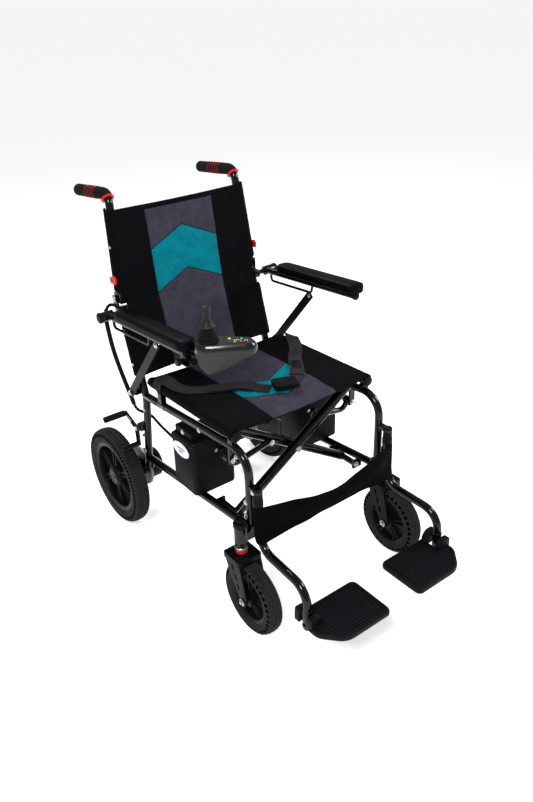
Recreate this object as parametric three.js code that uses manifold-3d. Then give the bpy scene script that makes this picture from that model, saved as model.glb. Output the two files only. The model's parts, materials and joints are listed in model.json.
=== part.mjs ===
// Folding power wheelchair: crossed-brace steel frame, hub motors, flip-up armrests, joystick.
// Millimetres. +Z is up, -Y is the way the chair drives, +X is the sitter's left.
// The origin is on the floor under the middle of the chair.
import * as THREE from 'three';
import { mergeVertices } from 'three/addons/utils/BufferGeometryUtils.js';
import Module from 'manifold-3d';

const wasm = await Module();
wasm.setup();

// ---- driving dimensions -------------------------------------------------------------------
const GAP = 0.3;                     // clearance between touching pieces
const SIDE_X = 218;                  // half the distance between the two side frames
const TUBE_R = 11;                   // frame tube, 22 mm outside
const RAIL_SLOPE = 0.092;            // both side rails climb towards the front
const UPPER_RAIL = { rearY: 258, rearZ: 454, frontY: -227, bend: 58 };
const LOWER_RAIL = { rearY: 288, rearZ: 234, frontY: -222 };
const REAR_POST = { footY: 292, footZ: 196, kneeY: 258, kneeZ: 448, topY: 333, topZ: 705 };
const POST_FOOT_Z = 294;
const SADDLES_Y = [-164, 168];       // where the seat rails rest on the upper rails

const WHEEL = { x: 282, y: 374, r: 152, width: 48, rimR: 112, hubR: 33, sides: 36 };
const CASTER = { x: 249, stemY: -224, axleY: -266, r: 101.5, width: 42, rimR: 70, hubR: 20, sides: 28 };
const BARREL = { r: 17, bottom: 242, top: 314 };
const CROWN = { bottom: 207, top: 222, halfWidth: 36, front: -262, back: -192 };

const BRACE = { pivotX: 197, pivotZ: 261, railX: 217, railZ: 526, half: 12.5 };
const BRACE_A_Y = -134;
const BRACE_B_Y = -107;
const BRACE_CENTRE_Z = 386;
const PIVOT_TUBE = { front: -159.5, back: -69.5 };
const SEAT_RAIL = { front: -176, back: 222, drop: 0.03, r: 12 };
const SEAT_SLING = { front: -178, back: 206, half: 205, thick: 10 };
const BACK_SLING = { bottom: 516, split: 712, top: 958 };
const LINK = { frameX: 213, frameZ: 441.4, braceX: 84, braceZ: 438, r: 8 };

const BACK_PIVOT = { y: 348, z: 722 };
const CANE = {
  footX: 217, footY: 336, footZ: 716, topX: 200, cornerY: 376, cornerZ: 997,
  tipY: 554.2, tipZ: 977, bend: 30, gripR: 16, gripZ: 965,
};
const LATCH = { z: 778 };
const ARM_PIVOT = { y: 320, z: 693 };
const ARM = { x: 268, tipY: -72, tipZ: 724, r: 10 };
const ARM_PAD = { rear: 250, front: -88, half: 26 };
const STRUT = { x: 252.5, footY: 276, footZ: 470, topY: 101, topZ: 678 };
const HANGER = { x: 219, y: -260, top: 405, footX: 226, footY: -452 };
const FOOT_AXIS_Z = 163;
const FOOTPLATE = { top: 149, bottom: 135, inner: 48, rear: -419, front: -556 };
const BRAKE = { x: 246, y: 286, z: 345, shoeDrop: 51.5, shoeR: 8 };
const BATTERY = { inner: 120, outer: 250, front: -28, back: 82, bottom: 276, top: 436 };
const STICK = { x: -240, y: -122 };
const POD_ANGLE = -40 * Math.PI / 180;   // the joystick pod points inwards and forwards
const POD_TOP = 765;
// Height, radius under the stick, radius at the tip, and distance between the two centres.
const POD_RINGS = [[682, 9, 7, 8], [700, 22, 14, 40], [726, 29, 20, 76], [738, 33, 24, 88], [752, 33, 24, 88],
  [POD_TOP, 26, 19, 84]];
// Name, finish, and place along and across the pod.
const BUTTONS = [['power_button', 'red', 76, -8], ['horn_button', 'yellow', 48, 8],
  ['slower_button', 'green', 62, -9], ['faster_button', 'green', 76, 8]];
const CABLE_R = 4.5;
// From the pod along the inside of the armrest, over its pivot, down to the rear post and the battery.
const CABLE_ROUTE = [
  [-238, -87, 724], [-240, -72, 723], [-243, -42, 721], [-244, 0, 718.5], [-244, 60, 714], [-244, 120, 709],
  [-244, 180, 704.5], [-244, 230, 702], [-245, 264, 705], [-246, 288, 713], [-250, 314, 719],
  [-256, 338, 714],
  [-262, 350, 696], [-264, 353, 668], [-263, 349, 630], [-261, 341, 585], [-257, 329, 540], [-252, 311, 490],
  [-247, 296, 448], [-240, 291, 414], [-227, 292, 394], [-210, 290, 382], [-197, 278, 370], [-190, 240, 350],
  [-186, 190, 338], [-185, 140, 333], [-185, 84, 332],
];

// ---- finishes -----------------------------------------------------------------------------
const FINISHES = {
  frame: { color: 0x0b0b0d, roughness: 0.25, metalness: 0.6 },
  plastic: { color: 0x1b1b1d, roughness: 0.6, metalness: 0 },
  casing: { color: 0x2a282a, roughness: 0.7, metalness: 0 },
  rubber: { color: 0x161616, roughness: 0.9, metalness: 0 },
  foam: { color: 0x222222, roughness: 0.95, metalness: 0 },
  fabric: { color: 0x111114, roughness: 0.95, metalness: 0 },
  webbing: { color: 0x242222, roughness: 0.85, metalness: 0 },
  steel: { color: 0xb9bcc2, roughness: 0.3, metalness: 1 },
  grey: { color: 0x8c8e90, roughness: 0.5, metalness: 0.7 },
  red: { color: 0xc81414, roughness: 0.45, metalness: 0 },
  yellow: { color: 0xd8b400, roughness: 0.5, metalness: 0 },
  green: { color: 0x1f9d4a, roughness: 0.5, metalness: 0 },
};

// ---- solids -------------------------------------------------------------------------------
function solid(geometry) {
  const bare = geometry.clone();
  bare.deleteAttribute('normal');
  bare.deleteAttribute('uv');
  const merged = mergeVertices(bare, 1e-4);
  const mesh = new wasm.Mesh({
    numProp: 3,
    vertProperties: new Float32Array(merged.attributes.position.array),
    triVerts: new Uint32Array(merged.index.array),
  });
  return new wasm.Manifold(mesh);
}

function geometryOf(body) {
  const mesh = body.getMesh();
  const geometry = new THREE.BufferGeometry();
  geometry.setAttribute('position', new THREE.BufferAttribute(new Float32Array(mesh.vertProperties), 3));
  geometry.setIndex(new THREE.BufferAttribute(new Uint32Array(mesh.triVerts), 1));
  geometry.computeVertexNormals();
  return geometry;
}

function join(...pieces) {
  return geometryOf(pieces.map(solid).reduce((a, b) => a.add(b)));
}

function cut(piece, ...tools) {
  return geometryOf(tools.map(solid).reduce((a, b) => a.subtract(b), solid(piece)));
}

// A line through corner points whose corners are rounded, with one step along each straight.
class BentLine extends THREE.Curve {
  constructor(corners, bend = 0, stepsPerBend = 5) {
    super();
    this.stations = [{ at: corners[0], way: corners[1].clone().sub(corners[0]).normalize() }];
    for (let i = 1; i < corners.length - 1; i++) {
      this.addBend(corners[i - 1], corners[i], corners[i + 1], bend, stepsPerBend);
    }
    const [before, last] = corners.slice(-2);
    this.stations.push({ at: last, way: last.clone().sub(before).normalize() });
  }

  addBend(before, corner, after, bend, steps) {
    const into = corner.clone().sub(before).normalize();
    const out = after.clone().sub(corner).normalize();
    const turn = into.angleTo(out);
    const setback = bend * Math.tan(turn / 2);
    const start = corner.clone().addScaledVector(into, -setback);
    const inward = out.clone().addScaledVector(into, -out.dot(into)).normalize();
    for (let k = 0; k <= steps; k++) {
      const a = turn * k / steps;
      const at = start.clone().addScaledVector(into, bend * Math.sin(a))
        .addScaledVector(inward, bend * (1 - Math.cos(a)));
      const way = into.clone().multiplyScalar(Math.cos(a)).addScaledVector(inward, Math.sin(a));
      this.stations.push({ at, way });
    }
  }

  get steps() { return this.stations.length - 1; }
  station(u) { return this.stations[Math.round(u * this.steps)]; }
  getPoint(u) { return this.station(u).at.clone(); }
  getPointAt(u) { return this.getPoint(u); }
  getTangent(u) { return this.station(u).way.clone(); }
  getTangentAt(u) { return this.getTangent(u); }
}

function disc(radius, sides) {
  const points = [];
  for (let i = 0; i < sides; i++) {
    const a = 2 * Math.PI * (i + 0.5) / sides;
    points.push(new THREE.Vector2(radius * Math.cos(a), radius * Math.sin(a)));
  }
  return new THREE.Shape(points);
}

function tube(corners, radius, bend = 0, sides = 16, stepsPerBend = 6) {
  const path = new BentLine(corners.map((c) => new THREE.Vector3(...c)), bend, stepsPerBend);
  return new THREE.ExtrudeGeometry(disc(radius, sides), { steps: path.steps, extrudePath: path });
}

function block(low, high) {
  const size = high.map((v, i) => v - low[i]);
  const middle = high.map((v, i) => (v + low[i]) / 2);
  return new THREE.BoxGeometry(...size).translate(...middle);
}

// A plate whose outline is given as (y, z) pairs, between two x values.
function sidePlate(outline, x0, x1) {
  const shape = new THREE.Shape(outline.map(([y, z]) => new THREE.Vector2(y, z)));
  const plate = new THREE.ExtrudeGeometry(shape, { depth: x1 - x0, bevelEnabled: false });
  return plate.rotateX(Math.PI / 2).rotateZ(Math.PI / 2).translate(x0, 0, 0);
}

// A plate whose outline is given as (x, y) pairs, between two z values.
function flatPlate(outline, z0, z1) {
  const shape = new THREE.Shape(outline.map(([x, y]) => new THREE.Vector2(x, y)));
  return new THREE.ExtrudeGeometry(shape, { depth: z1 - z0, bevelEnabled: false }).translate(0, 0, z0);
}

// A plate whose outline is given as (x, z) pairs, between two y values.
function frontPlate(outline, y0, y1) {
  const shape = new THREE.Shape(outline.map(([x, z]) => new THREE.Vector2(x, z)));
  const plate = new THREE.ExtrudeGeometry(shape, { depth: y1 - y0, bevelEnabled: false });
  return plate.rotateX(Math.PI / 2).translate(0, y1, 0);
}

// A solid turned about a line along X. The profile is (distance along X, radius) pairs.
function turned(profile, sides) {
  const points = profile.map(([along, r]) => new THREE.Vector2(r, along));
  return outward(new THREE.LatheGeometry(points, sides).rotateZ(-Math.PI / 2));
}

// A solid turned about a line along Z. The profile is (radius, height) pairs.
function upright(profile, sides) {
  const points = profile.map(([r, z]) => new THREE.Vector2(r, z));
  return outward(new THREE.LatheGeometry(points, sides).rotateX(Math.PI / 2));
}

function volume(geometry) {
  const p = geometry.attributes.position;
  const corner = (i) => new THREE.Vector3().fromBufferAttribute(p, i);
  const index = geometry.index ? geometry.index.array : [...Array(p.count).keys()];
  let total = 0;
  for (let i = 0; i < index.length; i += 3) {
    total += corner(index[i]).dot(corner(index[i + 1]).cross(corner(index[i + 2])));
  }
  return total / 6;
}

function flipped(geometry) {
  const turnedOver = geometry.index ? geometry.clone() : mergeVertices(geometry);
  const index = turnedOver.index.array;
  for (let i = 0; i < index.length; i += 3) {
    [index[i], index[i + 1]] = [index[i + 1], index[i]];
  }
  return turnedOver;
}

function outward(geometry) {
  return volume(geometry) < 0 ? flipped(geometry) : geometry;
}

function mirrored(geometry) {
  return flipped(geometry.clone().scale(-1, 1, 1));
}

// A solid through rings of points, all with the same number of points, from bottom to top.
function loft(rings) {
  const count = rings[0].length;
  const points = rings.flat();
  const faces = [];
  for (let k = 0; k + 1 < rings.length; k++) {
    for (let i = 0; i < count; i++) {
      const a = k * count + i;
      const b = k * count + (i + 1) % count;
      faces.push(a, b, b + count, a, b + count, a + count);
    }
  }
  for (let i = 1; i + 1 < count; i++) {
    const top = points.length - count;
    faces.push(0, i + 1, i, top, top + i, top + i + 1);
  }
  const geometry = new THREE.BufferGeometry();
  geometry.setAttribute('position', new THREE.Float32BufferAttribute(points.flat(), 3));
  geometry.setIndex(faces);
  geometry.computeVertexNormals();
  return outward(geometry);
}

// ---- the scene graph ----------------------------------------------------------------------
const wheelchair = new THREE.Group();

function add(name, geometry, finish, parent = wheelchair) {
  const material = new THREE.MeshStandardMaterial({ name: finish, ...FINISHES[finish] });
  const mesh = new THREE.Mesh(geometry, material);
  mesh.name = name;
  parent.add(mesh);
  return mesh;
}

// Most pieces come in pairs: the right one is built, and the left one is its mirror image.
function addPair(name, rightGeometry, finish) {
  add(`right_${name}`, rightGeometry, finish);
  add(`left_${name}`, mirrored(rightGeometry), finish);
}

// ---- side frames --------------------------------------------------------------------------
const seatRailZ = (y) => BRACE.railZ - SEAT_RAIL.drop * (y - SEAT_RAIL.front);
const upperRailZ = (y) => UPPER_RAIL.rearZ + RAIL_SLOPE * (UPPER_RAIL.rearY - y);
const lowerRailZ = (y) => LOWER_RAIL.rearZ + RAIL_SLOPE * (LOWER_RAIL.rearY - y);
const armZ = (y) => ARM_PIVOT.z + (ARM_PIVOT.y - y) * (ARM.tipZ - ARM_PIVOT.z) / (ARM_PIVOT.y - ARM.tipY);

function frameTubes() {
  const x = -SIDE_X;
  const front = UPPER_RAIL.frontY;
  return [
    tube([[x, UPPER_RAIL.rearY, UPPER_RAIL.rearZ], [x, front, upperRailZ(front)], [x, front, POST_FOOT_Z]],
      TUBE_R, UPPER_RAIL.bend, 16, 8),
    tube([[x, LOWER_RAIL.rearY, LOWER_RAIL.rearZ],
      [x, LOWER_RAIL.frontY, lowerRailZ(LOWER_RAIL.frontY)]], TUBE_R),
    tube([[x, REAR_POST.footY, REAR_POST.footZ], [x, REAR_POST.kneeY, REAR_POST.kneeZ],
      [x, REAR_POST.topY, REAR_POST.topZ]], TUBE_R, 60, 16, 3),
  ];
}

function casterBarrel() {
  const { r, bottom, top } = BARREL;
  return [
    tube([[-CASTER.x, CASTER.stemY, bottom], [-CASTER.x, CASTER.stemY, top]], r, 0, 16),
    block([-CASTER.x, -238, POST_FOOT_Z - 36], [-SIDE_X + 8, -208, POST_FOOT_Z + 4]),
  ];
}

function bracePivotLugs() {
  const { pivotX, pivotZ } = BRACE;
  const lug = (y) => block([-SIDE_X, y - 3, pivotZ - 12], [-pivotX + 10, y + 3, pivotZ + 14]);
  return [
    lug(PIVOT_TUBE.front - 3.5),
    lug(PIVOT_TUBE.back + 3.5),
    tube([[-pivotX, PIVOT_TUBE.front - 3, pivotZ], [-pivotX, PIVOT_TUBE.back + 3, pivotZ]], 4.8, 0, 10),
  ];
}

function linkBracket(linkY) {
  const { frameX, frameZ } = LINK;
  const y = linkY - 17;
  return [
    block([-frameX - 9, y - 3, frameZ - 9], [-frameX + 9, y + 3, upperRailZ(y)]),
    tube([[-frameX, y, frameZ], [-frameX, linkY + 11, frameZ]], 4, 0, 10),
  ];
}

function seatSaddles() {
  return SADDLES_Y.map((y) => block([-SIDE_X - 8, y - 9, upperRailZ(y)],
    [-SIDE_X + 8, y + 9, seatRailZ(y + 9) - SEAT_RAIL.r - 1]));
}

function hangerLug() {
  const { x, y, top } = HANGER;
  return [
    block([-x - 9, y - 9, top + 1.5], [-x + 9, UPPER_RAIL.frontY, top + 11]),
    tube([[-x, y, top + 6], [-x, y, top - 42]], 5.5, 0, 10),
  ];
}

// A boss on the side of the rear post with a pin along X.
function pinBoss(y, z, bossX, pinX, pinR, size) {
  return [
    block([-bossX, y - size, z - size], [-SIDE_X, y + size, z + size]),
    tube([[-SIDE_X, y, z], [-pinX, y, z]], pinR, 0, 10),
  ];
}

function backHingeLug() {
  const { y, z } = BACK_PIVOT;
  const cheek = [[y - 26, z - 36], [y, z - 36], [y + 13, z - 8], [y + 13, z + 8], [y - 6, z + 12],
    [y - 12, z - 6]];
  return [
    sidePlate(cheek, -SIDE_X - 16, -SIDE_X - 11),
    block([-SIDE_X - 13, y - 24, z - 36], [-SIDE_X, y - 4, z - 20]),
    tube([[-SIDE_X - 16, y, z], [-SIDE_X + 12, y, z]], 4, 0, 10),
  ];
}

function motorPlate() {
  const outline = [[270, 232], [300, 226], [330, 202], [396, 178], [402, 152], [392, 128],
    [356, 126], [302, 178], [278, 196]];
  const plate = sidePlate(outline, -SIDE_X + 4, -SIDE_X + 12);
  const hole = tube([[-SIDE_X, WHEEL.y, WHEEL.r], [-SIDE_X + 20, WHEEL.y, WHEEL.r]], 9.5, 0, 16);
  return cut(plate, hole);
}

function sideFrame(linkY) {
  const frame = join(
    ...frameTubes(), ...casterBarrel(), ...bracePivotLugs(), ...linkBracket(linkY), ...seatSaddles(),
    ...hangerLug(), ...backHingeLug(), motorPlate(),
    ...pinBoss(ARM_PIVOT.y, ARM_PIVOT.z, SIDE_X + 16, ARM.x + 20, 7, 10),
    ...pinBoss(STRUT.footY, STRUT.footZ, SIDE_X + 28, STRUT.x + 6, 5, 9),
    ...pinBoss(BRAKE.y, BRAKE.z, SIDE_X + 21, BRAKE.x + 4, 4, 10),
    block([-SIDE_X - 6, 262, BRAKE.z - 8], [-SIDE_X + 4, BRAKE.y, BRAKE.z + 8]),
  );
  const stemBore = tube(
    [[-CASTER.x, CASTER.stemY, BARREL.bottom - 2], [-CASTER.x, CASTER.stemY, BARREL.top + 2]], 8.6, 0, 16);
  return cut(frame, stemBore);
}

add('right_side_frame', sideFrame(BRACE_A_Y), 'frame');
add('left_side_frame', mirrored(sideFrame(BRACE_B_Y)), 'frame');

// ---- cross braces, seat rails and stabiliser links ----------------------------------------
function bracePlate(y) {
  const foot = new THREE.Vector2(-BRACE.pivotX, BRACE.pivotZ);
  const head = new THREE.Vector2(BRACE.railX, BRACE.railZ);
  const way = head.clone().sub(foot).normalize();
  const side = new THREE.Vector2(-way.y, way.x).multiplyScalar(BRACE.half);
  foot.addScaledVector(way, 6);
  const outline = [foot.clone().sub(side), head.clone().sub(side), head.clone().add(side),
    foot.clone().add(side)];
  return frontPlate(outline.map((p) => [p.x, p.y]), y - BRACE.half, y + BRACE.half);
}

function crossBrace(y) {
  const { pivotX, pivotZ, railX } = BRACE;
  const { front, back, r } = SEAT_RAIL;
  const brace = join(
    bracePlate(y),
    tube([[-pivotX, PIVOT_TUBE.front, pivotZ], [-pivotX, PIVOT_TUBE.back, pivotZ]], 9),
    tube([[railX, front, seatRailZ(front)], [railX, back, seatRailZ(back)]], r),
  );
  return cut(brace,
    tube([[-pivotX, PIVOT_TUBE.front - 1, pivotZ], [-pivotX, PIVOT_TUBE.back + 1, pivotZ]], 5.4, 0, 10),
    tube([[0, y - 20, BRACE_CENTRE_Z], [0, y + 20, BRACE_CENTRE_Z]], 5.6, 0, 10));
}

function crossBolt() {
  const front = BRACE_A_Y - BRACE.half;
  const back = BRACE_B_Y + BRACE.half;
  const z = BRACE_CENTRE_Z;
  return join(
    tube([[0, front - GAP - 6, z], [0, front - GAP, z]], 9, 0, 12),
    tube([[0, front - GAP - 3, z], [0, back + 5, z]], 5, 0, 10),
    tube([[0, back + GAP, z], [0, back + 7, z]], 9, 0, 6),
  );
}

function railCap() {
  const { railX } = BRACE;
  const y = SEAT_RAIL.front - GAP;
  return tube([[railX, y, seatRailZ(y)], [railX, y - 9, seatRailZ(y - 9)]], SEAT_RAIL.r + 2, 0, 16);
}

function stabiliserLink(linkY, boltEnd) {
  const { frameX, frameZ, braceX, braceZ, r } = LINK;
  const bar = join(
    tube([[-frameX, linkY, frameZ], [-frameX + 13, linkY, frameZ - 27], [-braceX, linkY, braceZ]],
      r, 22, 10, 4),
    tube([[-frameX, linkY - 9, frameZ], [-frameX, linkY + 9, frameZ]], 11, 0, 12),
    tube([[-braceX, linkY - 12, braceZ], [-braceX, boltEnd, braceZ]], 7, 0, 10),
  );
  return cut(bar, tube([[-frameX, linkY - 12, frameZ], [-frameX, linkY + 12, frameZ]], 4.6, 0, 10));
}

add('cross_brace_a', crossBrace(BRACE_A_Y), 'frame');
add('cross_brace_b', mirrored(crossBrace(BRACE_B_Y)), 'frame');
add('cross_brace_bolt', crossBolt(), 'steel');
add('left_rail_cap', railCap(), 'plastic');
add('right_rail_cap', mirrored(railCap()), 'plastic');
add('right_stabiliser_link', stabiliserLink(BRACE_A_Y, BRACE_B_Y - BRACE.half - GAP), 'frame');
add('left_stabiliser_link', mirrored(stabiliserLink(BRACE_B_Y, BRACE_A_Y + BRACE.half + 8)), 'frame');

// ---- upholstery, belt and calf strap ------------------------------------------------------
function seatSling() {
  const under = (y) => seatRailZ(y) + SEAT_RAIL.r + 0.6;
  const { front, back, half, thick } = SEAT_SLING;
  const outline = [[front, under(front)], [back, under(back)], [back, under(back) + thick],
    [front, under(front) + thick]];
  return sidePlate(outline, -half, half);
}

// A flat sheet across the chair, 8 mm thick, leaning back from one height to another.
function backSheet(low, high) {
  const corner = ({ x, y, z }) => [[-x, y - 4, z], [x, y - 4, z], [x, y + 4, z], [-x, y + 4, z]];
  return loft([corner(low), corner(high)]);
}

const lowerCaneY = (z) => REAR_POST.kneeY
  + (z - REAR_POST.kneeZ) * (REAR_POST.topY - REAR_POST.kneeY) / (REAR_POST.topZ - REAR_POST.kneeZ);
const upperCaneY = (z) => (
  CANE.footY + (z - CANE.footZ) * (CANE.cornerY - CANE.footY) / (CANE.cornerZ - CANE.footZ));

function slingPair() {
  const { bottom, split, top } = BACK_SLING;
  const wide = CANE.footX - TUBE_R - 1;
  const narrow = CANE.topX - TUBE_R + 1;
  add('back_sling_lower', backSheet({ x: wide, y: lowerCaneY(bottom), z: bottom },
    { x: wide, y: lowerCaneY(split - 4), z: split - 4 }), 'fabric');
  add('back_sling_upper', backSheet({ x: wide, y: upperCaneY(split), z: split },
    { x: narrow, y: upperCaneY(top), z: top }), 'fabric');
}

// A flat strap between two points; each end has half its width as a (y, z) direction.
function strap(a, b, acrossA, acrossB, thick) {
  const ring = ([x, y, z], [dy, dz]) => {
    const t = thick / 2 / Math.hypot(dy, dz);
    return [[x, y - dy - dz * t, z - dz + dy * t], [x, y + dy - dz * t, z + dz + dy * t],
      [x, y + dy + dz * t, z + dz - dy * t], [x, y - dy + dz * t, z - dz - dy * t]];
  };
  return loft([ring(a, acrossA), ring(b, acrossB)]);
}

add('seat_sling', seatSling(), 'fabric');
slingPair();
add('right_lap_belt', strap([-188, 170, 549], [-32, -78, 557], [19, 0], [19, 0], 3), 'webbing');
add('left_lap_belt', strap([48, -82, 557], [188, 170, 549], [19, 0], [19, 0], 3), 'webbing');
add('belt_buckle', block([-30, -116, 550], [44, -62, 564]), 'plastic');
add('right_calf_strap', strap([-205, -276, 318], [-2, -296, 326], [0, 54], [0, 26], 3), 'fabric');
add('left_calf_strap', strap([2, -296, 326], [205, -276, 318], [0, 26], [0, 54], 3), 'fabric');

// ---- folding back canes and push grips ----------------------------------------------------
const caneLine = (footX, footY, footZ, tipY) => [
  [-footX, footY, footZ], [-CANE.topX, CANE.cornerY, CANE.cornerZ],
  [-CANE.topX - 1, tipY, CANE.tipZ + (CANE.tipY - tipY) * 0.11]];

function backCane() {
  const { y, z } = BACK_PIVOT;
  const cane = join(
    tube(caneLine(CANE.footX, CANE.footY, CANE.footZ, CANE.tipY - 5), TUBE_R, CANE.bend, 16, 6),
    block([-SIDE_X - 10, y - 25, z - 9], [-SIDE_X + 12, y + 10, z + 18]),
    tube([[-213, upperCaneY(LATCH.z), LATCH.z], [-238, upperCaneY(LATCH.z), LATCH.z]], 3, 0, 10),
  );
  return cut(cane, tube([[-SIDE_X - 20, y, z], [-SIDE_X + 20, y, z]], 4.6, 0, 10));
}

function pushGrip() {
  const along = (CANE.cornerZ - CANE.gripZ) / (CANE.cornerZ - CANE.footZ);
  const x = CANE.topX + (CANE.footX - CANE.topX) * along;
  const foam = tube(caneLine(x, upperCaneY(CANE.gripZ), CANE.gripZ, CANE.tipY), CANE.gripR, CANE.bend, 16, 6);
  const bore = tube(caneLine(CANE.footX, CANE.footY, CANE.footZ, CANE.tipY - 5 + GAP), TUBE_R + 0.5,
    CANE.bend, 16, 6);
  return cut(foam, bore);
}

function backLatch() {
  const y = upperCaneY(LATCH.z);
  const z = LATCH.z;
  const paddle = sidePlate(
    [[y - 18, z - 8], [y + 8, z - 10], [y + 12, z + 6], [y - 10, z + 14], [y - 20, z + 6]],
    -236.5, -231);
  return cut(paddle, tube([[-240, y, z], [-228, y, z]], 3.5, 0, 10));
}

addPair('back_cane', backCane(), 'frame');
addPair('push_grip', pushGrip(), 'foam');
addPair('back_latch', backLatch(), 'red');

// ---- armrests and struts ------------------------------------------------------------------
function armrestHub() {
  const inner = -ARM.x + 10;
  const outer = -ARM.x - 32;
  const shaft = -ARM.x - 20 - 1.5;
  const profile = [[outer, 0], [outer, 12], [outer + 4, 14], [inner, 14], [inner, 7.7], [shaft, 7.7],
    [shaft, 0]];
  return turned(profile, 16)
    .translate(0, ARM_PIVOT.y, ARM_PIVOT.z);
}

function armrestFrame(withPodClamp) {
  const x = -ARM.x;
  const bar = tube([[x, ARM_PIVOT.y - 8, armZ(ARM_PIVOT.y - 8)], [x, ARM.tipY, ARM.tipZ]], ARM.r);
  const guide = tube(
    [[x, 298, armZ(298)], [x, 298, armZ(298) - 30], [x, 112, armZ(112) - 30], [x, 104, armZ(104)]],
    4, 10, 8, 3);
  const clamp = block([x - 8, -95, armZ(ARM.tipY) - 22], [x + 22, -52, armZ(ARM.tipY) - 8]);
  return join(armrestHub(), bar, guide, ...(withPodClamp ? [clamp] : []));
}

// The pad is made level and then tilted with the armrest.
function armPad() {
  const { rear, front, half } = ARM_PAD;
  const middle = (rear + front) / 2;
  const ring = (z, inset) => {
    const c = 9;
    const [x1, y1] = [half - inset, (rear - front) / 2 - inset];
    return [[-x1 + c, -y1, z], [x1 - c, -y1, z], [x1, -y1 + c, z], [x1, y1 - c, z], [x1 - c, y1, z],
      [-x1 + c, y1, z], [-x1, y1 - c, z], [-x1, -y1 + c, z]];
  };
  const foot = ARM.r + GAP;
  return loft([ring(foot, 3), ring(foot + 7, 0), ring(foot + 19, 0), ring(foot + 26, 7)])
    .rotateX(Math.atan2(armZ(rear) - armZ(front), rear - front))
    .translate(-ARM.x, middle, armZ(middle));
}

function armrestStrut() {
  const { x, footY, footZ, topY, topZ } = STRUT;
  const way = new THREE.Vector2(topY - footY, topZ - footZ).normalize();
  const side = new THREE.Vector2(-way.y, way.x).multiplyScalar(12);
  const foot = new THREE.Vector2(footY, footZ).addScaledVector(way, -12);
  const head = new THREE.Vector2(topY, topZ).addScaledVector(way, 8);
  const outline = [foot.clone().sub(side), head.clone().sub(side), head.clone().add(side),
    foot.clone().add(side)];
  const bar = sidePlate(outline.map((p) => [p.x, p.y]), -x - 2.5, -x + 2.5);
  return cut(bar, tube([[-x - 8, footY, footZ], [-x + 8, footY, footZ]], 5.6, 0, 10));
}

add('right_armrest_frame', armrestFrame(true), 'frame');
add('left_armrest_frame', mirrored(armrestFrame(false)), 'frame');
addPair('arm_pad', armPad(), 'plastic');
addPair('armrest_strut', armrestStrut(), 'casing');

// ---- joystick pod -------------------------------------------------------------------------
function podPoint(along, across) {
  const c = Math.cos(POD_ANGLE);
  const s = Math.sin(POD_ANGLE);
  return [STICK.x + along * c - across * s, STICK.y + along * s + across * c];
}

// The outline of two circles side by side: a large one under the stick, a small one at the tip.
function podOutline(rearR, tipR, length) {
  const points = [];
  for (let i = 0; i <= 8; i++) {
    const a = Math.PI / 2 + Math.PI * i / 8;
    points.push(podPoint(rearR * Math.cos(a), rearR * Math.sin(a)));
  }
  for (let i = 0; i <= 8; i++) {
    const a = -Math.PI / 2 + Math.PI * i / 8;
    points.push(podPoint(length + tipR * Math.cos(a), tipR * Math.sin(a)));
  }
  return points;
}

function joystickHousing() {
  const rings = POD_RINGS.map(
    ([z, rearR, tipR, length]) => podOutline(rearR, tipR, length).map((p) => [...p, z]));
  const stickWell = upright([[0, 738], [15, 738], [15, 770], [0, 770]], 16).translate(STICK.x, STICK.y, 0);
  const buttonWells = BUTTONS.map(([, , along, across]) => upright(
    [[0, POD_TOP - 3.4], [4.5, POD_TOP - 3.4], [4.5, POD_TOP + 5], [0, POD_TOP + 5]], 10,
  ).translate(...podPoint(along, across), 0));
  return cut(loft(rings), stickWell, ...buttonWells);
}

const atStick = (geometry) => geometry.translate(STICK.x, STICK.y, 0);

add('joystick_housing', joystickHousing(), 'plastic');
const gimbalRing = [[6.4, 748], [12.5, 748], [12.5, 756], [6.4, 756], [6.4, 748]];
add('joystick_gimbal', atStick(upright(gimbalRing, 16)), 'steel');
add('joystick_gaiter', atStick(upright([[6.5, 765.4], [24, 765.4], [24, 769], [20, 773], [22, 777], [17, 781],
  [19, 785], [14, 789], [15, 793], [10, 797], [6.5, 797], [6.5, 765.4]], 20)), 'rubber');
add('joystick_knob', atStick(upright([[0, 744], [4, 744], [4, 799], [18, 799], [19, 803], [10, 812],
  [8.5, 822], [10, 844], [7, 849], [0, 849]], 16)), 'rubber');
for (const [name, finish, along, across] of BUTTONS) {
  const cap = upright(
    [[0, POD_TOP - 2.2], [4, POD_TOP - 2.2], [4, POD_TOP + 1.2], [3, POD_TOP + 2], [0, POD_TOP + 2]], 12);
  add(name, cap.translate(...podPoint(along, across), 0), finish);
}

function joystickCable() {
  const route = new THREE.CatmullRomCurve3(CABLE_ROUTE.map((p) => new THREE.Vector3(...p)));
  return new THREE.ExtrudeGeometry(disc(CABLE_R, 6), { steps: 56, extrudePath: route });
}

add('joystick_cable', joystickCable(), 'rubber');

// ---- battery, controller box and motors ---------------------------------------------------
function batteryCase() {
  const { inner, outer, front, back, bottom, top } = BATTERY;
  const ring = (z, inset) => {
    const c = 8;
    const [x0, x1, y0, y1] = [-outer + inset, -inner - inset, front + inset, back - inset];
    return [[x0 + c, y0, z], [x1 - c, y0, z], [x1, y0 + c, z], [x1, y1 - c, z], [x1 - c, y1, z],
      [x0 + c, y1, z], [x0, y1 - c, z], [x0, y0 + c, z]];
  };
  return loft([ring(bottom, 2), ring(bottom + 6, 0), ring(top - 8, 0), ring(top, 5)]);
}

function hubMotor() {
  const face = -SIDE_X + 12 + GAP;
  const profile = [[-190, 0], [-190, 8.7], [face, 8.7], [face, 62], [face + 10, 62], [face + 10, 48],
    [-156, 48], [-148, 40], [-148, 0]];
  return turned(profile, 24).translate(0, WHEEL.y, WHEEL.r);
}

add('battery_case', batteryCase(), 'casing');
add('battery_handle', block([-238, -4, BATTERY.top + GAP], [-206, 74, BATTERY.top + 19]), 'plastic');
add('controller_box', mirrored(batteryCase()), 'casing');
addPair('motor', hubMotor(), 'grey');

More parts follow.
